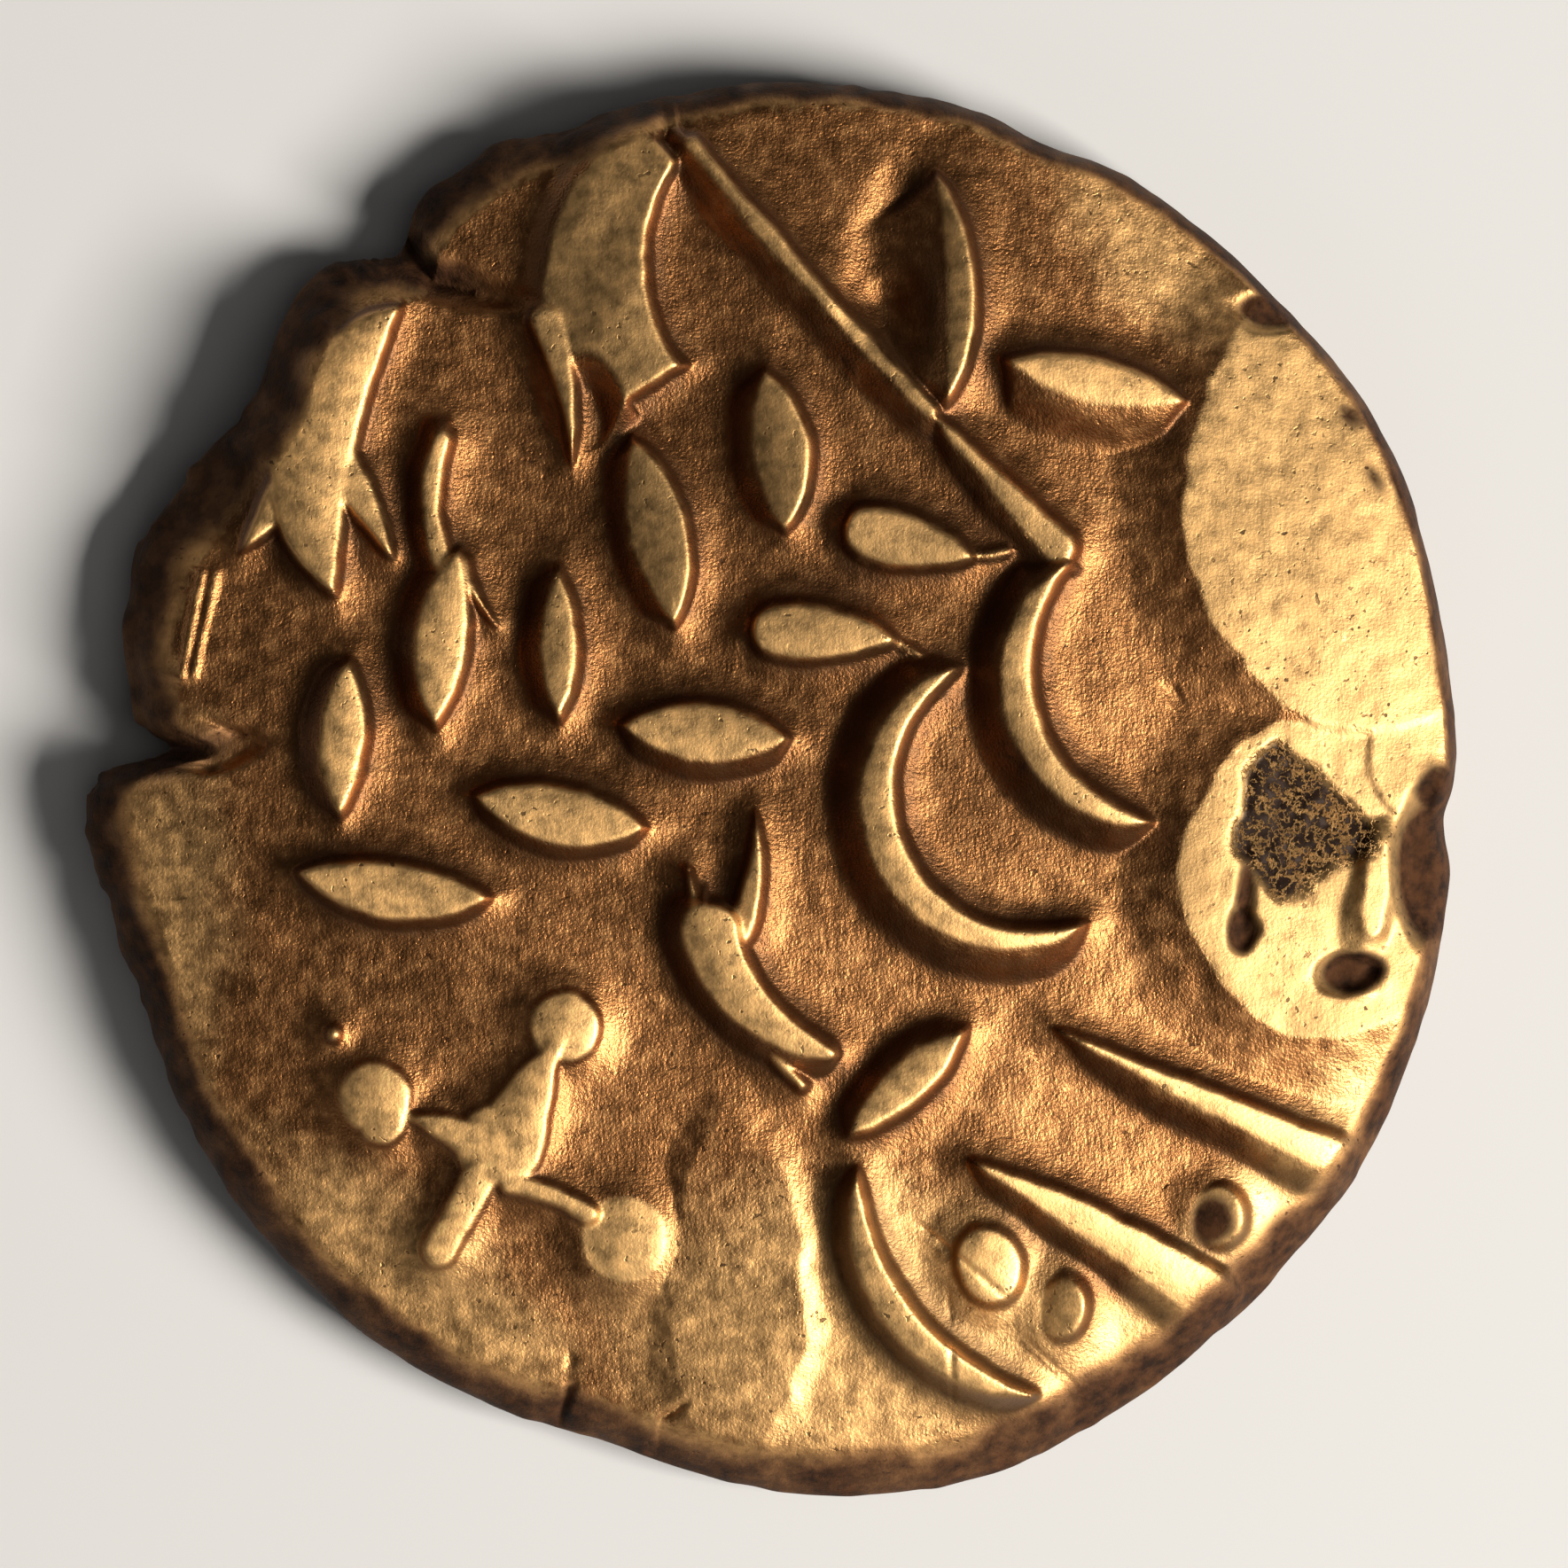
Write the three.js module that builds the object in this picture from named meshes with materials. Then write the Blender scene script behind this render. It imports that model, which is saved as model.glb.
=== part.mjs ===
// A struck gold coin lying flat, face up. The flan is hammered and uneven, domed above and dished
// below, and a wreath of leaves, crescents, bars and pellets stands up from its face.
// Millimetres, +Z up, centred on its footprint, underside at z = 0.
import * as THREE from "three";
import { mergeVertices } from "three/addons/utils/BufferGeometryUtils.js";

// Flan
const CROWN_HEIGHT = 2.36;
const DOME_FALL = 0.86;
const DOME_POWER = 2.3;
const EDGE_MIDDLE = 0.68;
const LAND_INSET = 0.5;
const LAND_SHARE = 0.76;
const DISH_DEPTH = 0.5;
const DISH_POWER = 1.4;

// Outline: distance of the edge from the middle every 15 degrees, counterclockwise from +X
const RIM_RADII = [
  8.8, 8.88, 9.1, 9.06, 9.12, 9.13, 9.09, 8.92, 8.9, 8.8, 8.46, 8.62,
  8.8, 8.52, 8.57, 8.64, 8.68, 8.6, 8.96, 9.19, 9.07, 8.97, 8.96, 8.83,
];

// Breaks in the edge: direction and half width in degrees, depth in mm, negative for a bulge
const RIM_NOTCHES = [
  { at: 172.5, halfWidth: 5, depth: 0.45 },
  { at: 176, halfWidth: 1.8, depth: 0.8 },
  { at: 125, halfWidth: 3.5, depth: 0.48 },
  { at: 142, halfWidth: 5, depth: 0.24 },
  { at: 158.5, halfWidth: 4, depth: -0.14 },
  { at: 112.5, halfWidth: 4, depth: -0.07 },
  { at: 67, halfWidth: 4, depth: 0.12 },
  { at: 357.2, halfWidth: 3, depth: 0.16 },
];

// Slope beside the face every 30 degrees: its width, and how steeply it leaves the face
const SLOPE_WIDTHS = [0.2, 0.18, 0.22, 0.34, 0.62, 0.8, 0.62, 0.5, 0.5, 0.6, 0.6, 0.4];
const SLOPE_STARTS = [0.3, 0.3, 0.3, 0.4, 0.6, 0.6, 0.5, 0.5, 0.7, 0.8, 0.8, 0.7];

// Relief heights, how far the flank reaches inside and outside an outline, how the slope of a raised
// patch steepens to its lip, the low swell of the ground around each figure, and the half width at which
// a tip gets its wider flank
const LEAF_HEIGHT = 0.46;
const CRESCENT_HEIGHT = 0.54;
const BAR_HEIGHT = 0.38;
const FAINT_HEIGHT = 0.27;
const THORN_HEIGHT = 0.38;
const FLANK_INSIDE = 0.05;
const FLANK_OUTSIDE = 0.18;
const LIP_POWER = 1.5;
const SWELL_HEIGHT = 0.13;
const SWELL_WIDTH = 0.5;
const TIP_HALF = 0.15;

// Figures drawn tip to tip along an arc: bow is how far the arc stands to the left of its chord, and
// lean how much wider the flank is on the left, or on the right if negative
const LEAVES = [
  { from: [-5.39, 1.69], to: [-5.5, -0.32], bow: 0, width: 0.66, lean: -0.2 },
  { from: [-3.97, 3.09], to: [-4.27, 0.81], bow: -0.07, width: 0.74, lean: -0.2 },
  { from: [-2.7, 2.88], to: [-2.69, 0.89], bow: 0, width: 0.56, lean: -0.2 },
  { from: [-1.75, 4.5], to: [-1.22, 2.13], bow: 0.07, width: 0.8, lean: -0.22 },
  { from: [-0.08, 5.4], to: [0.19, 3.33], bow: 0.09, width: 0.8, lean: -0.26 },
  { from: [-1.9, 0.85], to: [0.26, 0.69], bow: 0, width: 0.82, lean: -0.2 },
  { from: [-3.77, -0.05], to: [-1.58, -0.46], bow: -0.04, width: 0.84, lean: -0.1 },
  { from: [-6.04, -1.02], to: [-3.57, -1.35], bow: -0.07, width: 0.82, lean: -0.06 },
  { from: [2.97, 5.52], to: [5.33, 4.99], bow: 0, width: 0.66, lean: -0.5 },
  { from: [2.11, 7.93], to: [2.24, 4.9], bow: 0.27, width: 0.46, lean: -0.95 },
  { from: [0.99, -4.39], to: [2.51, -3.01], bow: 0, width: 0.62, lean: 0.2 },
  { from: [-4.72, 6.22], to: [-5.55, 2.5], bow: -0.7, width: 1.14, lean: 0 },
];

// Leaves with a rounded end and a long tip
const DROPS = [
  { from: [0.95, 3.4], to: [2.62, 2.98], bow: 0, width: 0.8, lean: 0 },
  { from: [-0.24, 2.05], to: [1.62, 1.93], bow: 0.04, width: 0.82, lean: 0 },
];
const CRESCENTS = [
  { from: [3.85, 2.95], to: [4.85, -0.38], bow: -1.18, width: 0.5, lean: -0.35 },
  { from: [2.4, 1.59], to: [3.99, -1.69], bow: -1.83, width: 0.52, lean: -0.35 },
  { from: [1.11, -4.82], to: [3.4, -7.71], bow: -0.75, width: 0.5, lean: -0.12 },
];

// A broken crescent, blunt where it starts, and the prongs of the broken crescent and of the large leaves
const HORNS = [
  { from: [-0.76, -1.78], to: [0.86, -3.35], bow: -0.33, width: 0.82, lean: -0.2 },
];
const THORNS = [
  { from: [-0.84, -1.89], to: [-1.07, -0.96], bow: 0, width: 0.36, lean: 0 },
  { from: [-0.42, -1.78], to: [-0.19, -0.28], bow: -0.1, width: 0.44, lean: 0 },
  { from: [-5.7, 4.4], to: [-4.84, 3], bow: 0.05, width: 0.75, lean: 0 },
  { from: [-5.9, 4.4], to: [-6.78, 3.06], bow: 0.05, width: 0.75, lean: 0 },
  { from: [-2.86, 6], to: [-2.54, 4.2], bow: 0.1, width: 0.5, lean: 0 },
];

// Bars that widen from a point to a rounded end
const SPIKES = [
  { from: [2, 4.9], to: [3.67, 3.13], bow: 0, width: 0.52, lean: -0.2 },
  { from: [3.65, -3.03], to: [7.23, -4.68], bow: 0, width: 0.56, lean: -0.3 },
  { from: [2.57, -4.71], to: [5.67, -6.51], bow: 0.09, width: 0.8, lean: -0.25 },
];

// The broad leaf that opens downwards to a straight end, and the cut between its lobes
const FANS = [
  { from: [-1.45, 8.35], to: [-1.8, 4.97], bow: -0.6, width: 1.72, lean: -0.25 },
];
const FAN_CUT = { at: [-2.3, 4.75], half: [0.42, 0.8], turn: 10 };

// A stalk and the long spine, of even width
const STEMS = [
  { from: [-4.19, 4.5], to: [-4.02, 2.6], bow: -0.21, width: 0.3, lean: -0.15 },
  { from: [-0.99, 8.28], to: [2.03, 4.88], bow: -0.06, width: 0.28, lean: -0.3 },
];

// Limbs of the worn three-pellet figure
const FAINT_SPIKES = [
  { from: [-4.62, -4.12], to: [-3.5, -4.55], bow: 0, width: 0.7, lean: 0 },
  { from: [-2.75, -3.2], to: [-3.38, -4.5], bow: 0, width: 1.05, lean: 0 },
];
const FAINT_STEMS = [
  { from: [-2.64, -3.02], to: [-3.15, -4.1], bow: 0, width: 0.36, lean: 0 },
  { from: [-4.7, -4.1], to: [-4.3, -4.27], bow: 0, width: 0.2, lean: 0 },
  { from: [-3.72, -4.9], to: [-4.22, -5.85], bow: 0, width: 0.5, lean: 0 },
  { from: [-3.34, -5], to: [-2.34, -5.38], bow: 0.06, width: 0.3, lean: 0 },
];

// Pellets: middle, half sizes, turn in degrees, height
const PELLETS = [
  { at: [2.78, -6.04], half: [0.46, 0.56], turn: 20, height: 0.32 },
  { at: [3.72, -6.6], half: [0.36, 0.46], turn: -12, height: 0.28 },
  { at: [5.73, -5.43], half: [0.38, 0.42], turn: 0, height: 0.28 },
  { at: [-5.06, -3.91], half: [0.5, 0.5], turn: 0, height: 0.27 },
  { at: [-4.96, -4.22], half: [0.34, 0.34], turn: 0, height: 0.27 },
  { at: [-2.62, -3], half: [0.49, 0.49], turn: 0, height: 0.27 },
  { at: [-1.86, -5.72], half: [0.59, 0.59], turn: 0, height: 0.19 },
  { at: [-3.46, -4.5], half: [0.6, 0.56], turn: 0, height: 0.27 },
];

// Broad raised patches and sunk places: middle, half sizes, turn in degrees, height, width of the slope
const PATCHES = [
  { at: [7.5, 3.6], half: [2.2, 2.9], turn: 10, height: 0.3, border: 0.9 },
  { at: [8.2, 0.6], half: [0.6, 0.9], turn: 0, height: 0.28, border: 0.5 },
  { at: [7.05, -1.05], half: [1.8, 2], turn: 0, height: 0.25, border: 0.9 },
  { at: [-0.44, -6.44], half: [0.9, 2.15], turn: 0, height: 0.08, border: 0.3 },
  { at: [7.72, -1.4], half: [0.2, 0.62], turn: -8, height: 0.42, border: 0.55 },
];
const HOLLOWS = [
  { at: [6.7, -0.3], half: [0.95, 0.8], turn: -20, depth: 0.08, border: 0.2 },
  { at: [6.06, -1.25], half: [0.06, 0.4], turn: -6, depth: 0.1, border: 0.1 },
  { at: [6, -1.78], half: [0.15, 0.24], turn: 0, depth: 0.14, border: 0.1 },
  { at: [7.52, -2.26], half: [0.34, 0.2], turn: 14, depth: 0.24, border: 0.16 },
  { at: [8.45, -1.1], half: [0.42, 0.9], turn: 0, depth: 0.4, border: 0.3 },
  { at: [6.3, 6.15], half: [0.36, 0.14], turn: -10, depth: 0.14, border: 0.2 },
  { at: [-2.57, -7.95], half: [0.15, 0.45], turn: 0, depth: 0.4, border: 0.2 },
  { at: [-4.4, 6.6], half: [0.65, 0.14], turn: -14, depth: 0.3, border: 0.25 },
  { at: [-7, 0.5], half: [0.35, 0.16], turn: 20, depth: 0.2, border: 0.2 },
  { at: [1.6, 6.9], half: [0.45, 1.1], turn: -20, depth: 0.16, border: 0.7 },
  { at: [1.65, 5.95], half: [0.35, 0.5], turn: 0, depth: 0.12, border: 0.5 },
];

// Broad unevenness of the face: middle, half sizes, height, or depth if negative
const WAVES = [
  { at: [-2.8, 3.6], half: [3.6, 4.2], height: -0.3 },
  { at: [1.5, -7], half: [3, 2], height: 0.1 },
];

// Underside: a plain worn design of pellets around a low boss in the dish
const UNDER_RING_RADIUS = 3.6;
const UNDER_RING_COUNT = 7;
const UNDER_PELLET_RADIUS = 0.8;
const UNDER_BOSS_RADIUS = 1.1;
const UNDER_HEIGHT = 0.14;
const UNDER_FLANK = 0.5;

// Faceting: the facets are first drawn on a unit sphere. How many there are after each stage, the
// shortest edge on that sphere that is still halved, and the shares of the way from pole to pole that
// the face and the underside take
const FACET_LIMITS = [5600, 7600, 9400];
const SHORTEST_EDGE = 0.022;
const FIRST_DETAIL = 6;
const FACE_SHARE = 0.4;
const UNDER_SHARE = 0.4;
const SAMPLES_PER_SIDE = 5;
const FIRST_TOLERANCE = 0.2;
const LAST_TOLERANCE = 0.004;
const TOLERANCE_STEP = 0.85;
const THINNEST_FACET = 0.12;
const SMALLEST_GAIN = 0.001;
const TURN_PASSES = 8;

// Points this close to a border of a figure are moved onto it, in steps found over a short probe
const SNAP_REACH = 0.1;
const SNAP_STEPS = 3;
const PROBE = 0.002;
const SHARE_STEPS = 24;

// How quickly a break in the edge fades out towards the middle of the face
const BREAK_POWER = 6;

// Gold, worn
const GOLD = new THREE.MeshStandardMaterial({ color: 0xd9a95f, roughness: 0.42, metalness: 1 });

function smoothStep(low, high, value) {
  const share = Math.min(Math.max((value - low) / (high - low), 0), 1);
  return share * share * (3 - 2 * share);
}

// Smooth curve through values that are spaced evenly round the coin
function around(values, degrees) {
  const count = values.length;
  const place = (((degrees % 360) + 360) % 360) * count / 360;
  const index = Math.floor(place);
  const t = place - index;
  const before = values[(index + count - 1) % count];
  const start = values[index % count];
  const end = values[(index + 1) % count];
  const after = values[(index + 2) % count];
  const bend = 2 * before - 5 * start + 4 * end - after + t * (3 * (start - end) + after - before);
  return start + 0.5 * t * (end - before + t * bend);
}

// Distance of the edge from the middle in one direction, with the breaks
function rimRadius(degrees) {
  let radius = around(RIM_RADII, degrees);
  for (const notch of RIM_NOTCHES) {
    const turn = ((degrees - notch.at + 540) % 360 + 360) % 360 - 180;
    radius -= notch.depth * Math.exp(-((turn / notch.halfWidth) ** 2));
  }
  return radius;
}

// Half widths along a figure
const leafShape = (share) => (4 * share * (1 - share)) ** 0.8;
const dropShape = (share) => (4 * share ** 0.6 * (1 - share ** 0.6)) ** 0.7;
const crescentShape = (share) => (4 * share * (1 - share)) ** 0.6;
const hornShape = (share) => (1 - share) ** 0.4;
const thornShape = (share) => (1 - share) ** 0.7;
const spikeShape = (share) => share ** 0.6;
const fanShape = (share) => 0.45 + 0.55 * share ** 0.7;
const stemShape = () => 1;

// Share along the straight line from tip to tip, and the offset to its left
function alongLine(figure, chord) {
  const [startX, startY] = figure.from;
  const [alongX, alongY] = chord.along;
  return (x, y) => ({
    share: ((x - startX) * alongX + (y - startY) * alongY) / chord.length,
    left: (y - startY) * alongX - (x - startX) * alongY,
    length: chord.length,
  });
}

// The same beside an arc that stands to the left of the chord by the bow
function alongArc(figure, chord) {
  const side = Math.sign(figure.bow);
  const depth = Math.abs(figure.bow);
  const radius = (chord.length ** 2 / 4 + depth ** 2) / (2 * depth);
  const reach = figure.bow - side * radius;
  const centreX = chord.middle[0] - chord.along[1] * reach;
  const centreY = chord.middle[1] + chord.along[0] * reach;
  const sweep = 2 * Math.atan2(chord.length / 2, radius - depth);
  const startAngle = Math.atan2(figure.from[1] - centreY, figure.from[0] - centreX);
  return (x, y) => {
    const turn = (startAngle - Math.atan2(y - centreY, x - centreX)) * side;
    const wrapped = turn - 2 * Math.PI * Math.round((turn - sweep / 2) / (2 * Math.PI));
    const left = side * (Math.hypot(x - centreX, y - centreY) - radius);
    return { share: wrapped / sweep, left, length: radius * sweep };
  };
}

// How far a point lies inside a turned oval, measured along its border
function insideOval(x, y, oval) {
  const angle = THREE.MathUtils.degToRad(oval.turn);
  const offsetX = x - oval.at[0];
  const offsetY = y - oval.at[1];
  const across = (offsetX * Math.cos(angle) + offsetY * Math.sin(angle)) / oval.half[0];
  const up = (offsetY * Math.cos(angle) - offsetX * Math.sin(angle)) / oval.half[1];
  return (1 - Math.hypot(across, up)) * Math.min(oval.half[0], oval.half[1]);
}

// A figure that stands up by height: outline(x, y) gives how far a point lies inside it, negative
// outside, and how far its flank reaches there; beyond reach from its middle it no longer shows
function drawn(figure, shape, height) {
  const across = [figure.to[0] - figure.from[0], figure.to[1] - figure.from[1]];
  const length = Math.hypot(...across);
  const along = [across[0] / length, across[1] / length];
  const middle = [figure.from[0] + across[0] / 2, figure.from[1] + across[1] / 2];
  const chord = { length, along, middle };
  const locate = figure.bow === 0 ? alongLine(figure, chord) : alongArc(figure, chord);
  const outline = (x, y) => {
    const place = locate(x, y);
    const share = Math.min(Math.max(place.share, 0), 1);
    const half = 0.5 * figure.width * shape(share);
    const beyond = Math.abs(place.share - share) * place.length;
    const wider = place.left * figure.lean > 0 ? Math.abs(figure.lean) * smoothStep(0, TIP_HALF, half) : 0;
    return { inside: half - Math.hypot(beyond, place.left), flank: FLANK_OUTSIDE + wider, place, half };
  };
  const reach = length / 2 + Math.abs(figure.bow) + figure.width + SWELL_WIDTH + Math.abs(figure.lean);
  return { middle, reach, outline, height };
}

// The same with straight ends and the cut between the lobes
function drawnFan(fan) {
  const figure = drawn(fan, fanShape, LEAF_HEIGHT);
  const outline = (x, y) => {
    const { flank, place, half } = figure.outline(x, y);
    const ends = Math.min(place.share, 1 - place.share) * place.length;
    return { inside: Math.min(half - Math.abs(place.left), ends, -insideOval(x, y, FAN_CUT)), flank };
  };
  return { ...figure, outline };
}

function drawnPellet(pellet) {
  const outline = (x, y) => ({ inside: insideOval(x, y, pellet), flank: FLANK_OUTSIDE });
  return { middle: pellet.at, reach: Math.max(...pellet.half) + SWELL_WIDTH, outline, height: pellet.height };
}

const FIGURES = [
  ...LEAVES.map((leaf) => drawn(leaf, leafShape, LEAF_HEIGHT)),
  ...DROPS.map((drop) => drawn(drop, dropShape, LEAF_HEIGHT)),
  ...CRESCENTS.map((crescent) => drawn(crescent, crescentShape, CRESCENT_HEIGHT)),
  ...HORNS.map((horn) => drawn(horn, hornShape, CRESCENT_HEIGHT)),
  ...THORNS.map((thorn) => drawn(thorn, thornShape, THORN_HEIGHT)),
  ...SPIKES.map((spike) => drawn(spike, spikeShape, BAR_HEIGHT)),
  ...STEMS.map((stem) => drawn(stem, stemShape, BAR_HEIGHT)),
  ...FAINT_SPIKES.map((spike) => drawn(spike, spikeShape, FAINT_HEIGHT)),
  ...FAINT_STEMS.map((stem) => drawn(stem, stemShape, FAINT_HEIGHT)),
  ...FANS.map(drawnFan),
  ...PELLETS.map(drawnPellet),
];

// How far a point lies inside the tops of the figures, and inside the feet of their flanks
function borderDistances(x, y) {
  let top = -Infinity;
  let foot = -Infinity;
  for (const figure of FIGURES) {
    if (Math.hypot(x - figure.middle[0], y - figure.middle[1]) < figure.reach) {
      const { inside, flank } = figure.outline(x, y);
      top = Math.max(top, inside - FLANK_INSIDE);
      foot = Math.max(foot, inside + flank);
    }
  }
  return [top, foot];
}

// The nearest place on such a border, or nothing if none is near
function nearestBorder(x, y) {
  const distances = borderDistances(x, y);
  const kind = Math.abs(distances[0]) < Math.abs(distances[1]) ? 0 : 1;
  if (!(Math.abs(distances[kind]) < SNAP_REACH)) {
    return null;
  }
  const at = (px, py) => borderDistances(px, py)[kind];
  let place = [x, y];
  for (let step = 0; step < SNAP_STEPS; step += 1) {
    const [px, py] = place;
    const slopeX = (at(px + PROBE, py) - at(px - PROBE, py)) / (2 * PROBE);
    const slopeY = (at(px, py + PROBE) - at(px, py - PROBE)) / (2 * PROBE);
    const size = slopeX * slopeX + slopeY * slopeY;
    if (!(size > 0)) {
      return null;
    }
    const share = at(px, py) / size;
    place = [px - share * slopeX, py - share * slopeY];
  }
  return Math.hypot(place[0] - x, place[1] - y) < 2 * SNAP_REACH ? place : null;
}

// Height of a figure's flank and of the low swell around it
function standing({ inside, flank }, height) {
  const body = height * Math.min(Math.max((inside + flank) / (FLANK_INSIDE + flank), 0), 1);
  const near = Math.min(Math.max(1 + inside / SWELL_WIDTH, 0), 1);
  return Math.max(body, SWELL_HEIGHT * near * near);
}

// Height of the relief above the plain dome
function relief(x, y) {
  let height = 0;
  for (const figure of FIGURES) {
    if (Math.hypot(x - figure.middle[0], y - figure.middle[1]) < figure.reach) {
      height = Math.max(height, standing(figure.outline(x, y), figure.height));
    }
  }
  for (const patch of PATCHES) {
    const inside = insideOval(x, y, patch);
    const share = Math.min(Math.max(1 + inside / patch.border, 0), 1);
    height = Math.max(height, patch.height * share ** LIP_POWER);
  }
  for (const hollow of HOLLOWS) {
    const inside = insideOval(x, y, hollow);
    height -= hollow.depth * smoothStep(-hollow.border / 2, hollow.border / 2, inside);
  }
  for (const wave of WAVES) {
    const gap = Math.hypot((x - wave.at[0]) / wave.half[0], (y - wave.at[1]) / wave.half[1]);
    height += wave.height * Math.exp(-gap * gap);
  }
  return height;
}

// Height of the face; whole is the radius where the unbroken face ends in this direction
function faceHeight(x, y, whole) {
  const share = Math.hypot(x, y) / whole;
  return CROWN_HEIGHT - DOME_FALL * share ** DOME_POWER + relief(x, y);
}

// Height of the underside; land is the radius where the flat land ends in this direction
function underHeight(x, y, land) {
  const share = Math.min(Math.hypot(x, y) / (land * LAND_SHARE), 1);
  const dish = DISH_DEPTH * (1 - share * share) ** DISH_POWER;
  let raised = UNDER_HEIGHT * smoothStep(0, UNDER_FLANK, UNDER_BOSS_RADIUS - Math.hypot(x, y));
  for (let index = 0; index < UNDER_RING_COUNT; index += 1) {
    const angle = 2 * Math.PI * index / UNDER_RING_COUNT;
    const gapX = x - UNDER_RING_RADIUS * Math.cos(angle);
    const gapY = y - UNDER_RING_RADIUS * Math.sin(angle);
    const inside = UNDER_PELLET_RADIUS - Math.hypot(gapX, gapY);
    raised = Math.max(raised, UNDER_HEIGHT * smoothStep(0, UNDER_FLANK, inside));
  }
  return dish - Math.min(raised, dish);
}

// Radius on the face at a share of the way out: evenly spaced, but drawn in towards a break in the edge
function faceRadius(share, whole, edge) {
  return whole * share - (whole - edge) * share ** BREAK_POWER;
}

// Direction on the unit sphere that stands for a place on the face, or nothing if it is off the face
function faceDirection(x, y) {
  const angle = Math.atan2(y, x);
  const degrees = THREE.MathUtils.radToDeg(angle);
  const slopeWidth = around(SLOPE_WIDTHS, degrees);
  const edge = rimRadius(degrees) - slopeWidth;
  const whole = around(RIM_RADII, degrees) - slopeWidth;
  const radius = Math.hypot(x, y);
  if (radius > edge) {
    return null;
  }
  let low = 0;
  let high = 1;
  for (let step = 0; step < SHARE_STEPS; step += 1) {
    const middle = (low + high) / 2;
    if (faceRadius(middle, whole, edge) < radius) {
      low = middle;
    } else {
      high = middle;
    }
  }
  const tilt = Math.PI * FACE_SHARE * (low + high) / 2;
  return new THREE.Vector3(
    Math.sin(tilt) * Math.cos(angle),
    Math.sin(tilt) * Math.sin(angle),
    Math.cos(tilt),
  );
}

// Point of the coin's surface for a direction on the unit sphere: face on top, then the rounded edge,
// then the underside
function surfacePoint(direction) {
  const angle = Math.atan2(direction.y, direction.x);
  const degrees = THREE.MathUtils.radToDeg(angle);
  const down = Math.acos(THREE.MathUtils.clamp(direction.z, -1, 1)) / Math.PI;
  const rim = rimRadius(degrees);
  const slopeWidth = around(SLOPE_WIDTHS, degrees);
  const edge = rim - slopeWidth;
  const whole = around(RIM_RADII, degrees) - slopeWidth;
  const land = rim - LAND_INSET;
  const at = (radius) => [radius * Math.cos(angle), radius * Math.sin(angle)];
  if (down < FACE_SHARE) {
    const [x, y] = at(faceRadius(down / FACE_SHARE, whole, edge));
    return new THREE.Vector3(x, y, faceHeight(x, y, whole));
  }
  if (down > 1 - UNDER_SHARE) {
    const [x, y] = at(land * (1 - down) / UNDER_SHARE);
    return new THREE.Vector3(x, y, underHeight(x, y, land));
  }
  const roll = Math.PI * (down - FACE_SHARE) / (1 - FACE_SHARE - UNDER_SHARE);
  if (roll < Math.PI / 2) {
    const [edgeX, edgeY] = at(edge);
    const shoulder = faceHeight(edgeX, edgeY, whole);
    const out = slopeWidth * Math.sin(roll);
    const [x, y] = at(edge + out);
    const fallen = shoulder - around(SLOPE_STARTS, degrees) * out;
    return new THREE.Vector3(x, y, EDGE_MIDDLE + (fallen - EDGE_MIDDLE) * Math.cos(roll));
  }
  const [x, y] = at(land + (rim - land) * Math.sin(roll));
  return new THREE.Vector3(x, y, EDGE_MIDDLE * (1 + Math.cos(roll)));
}

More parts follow.
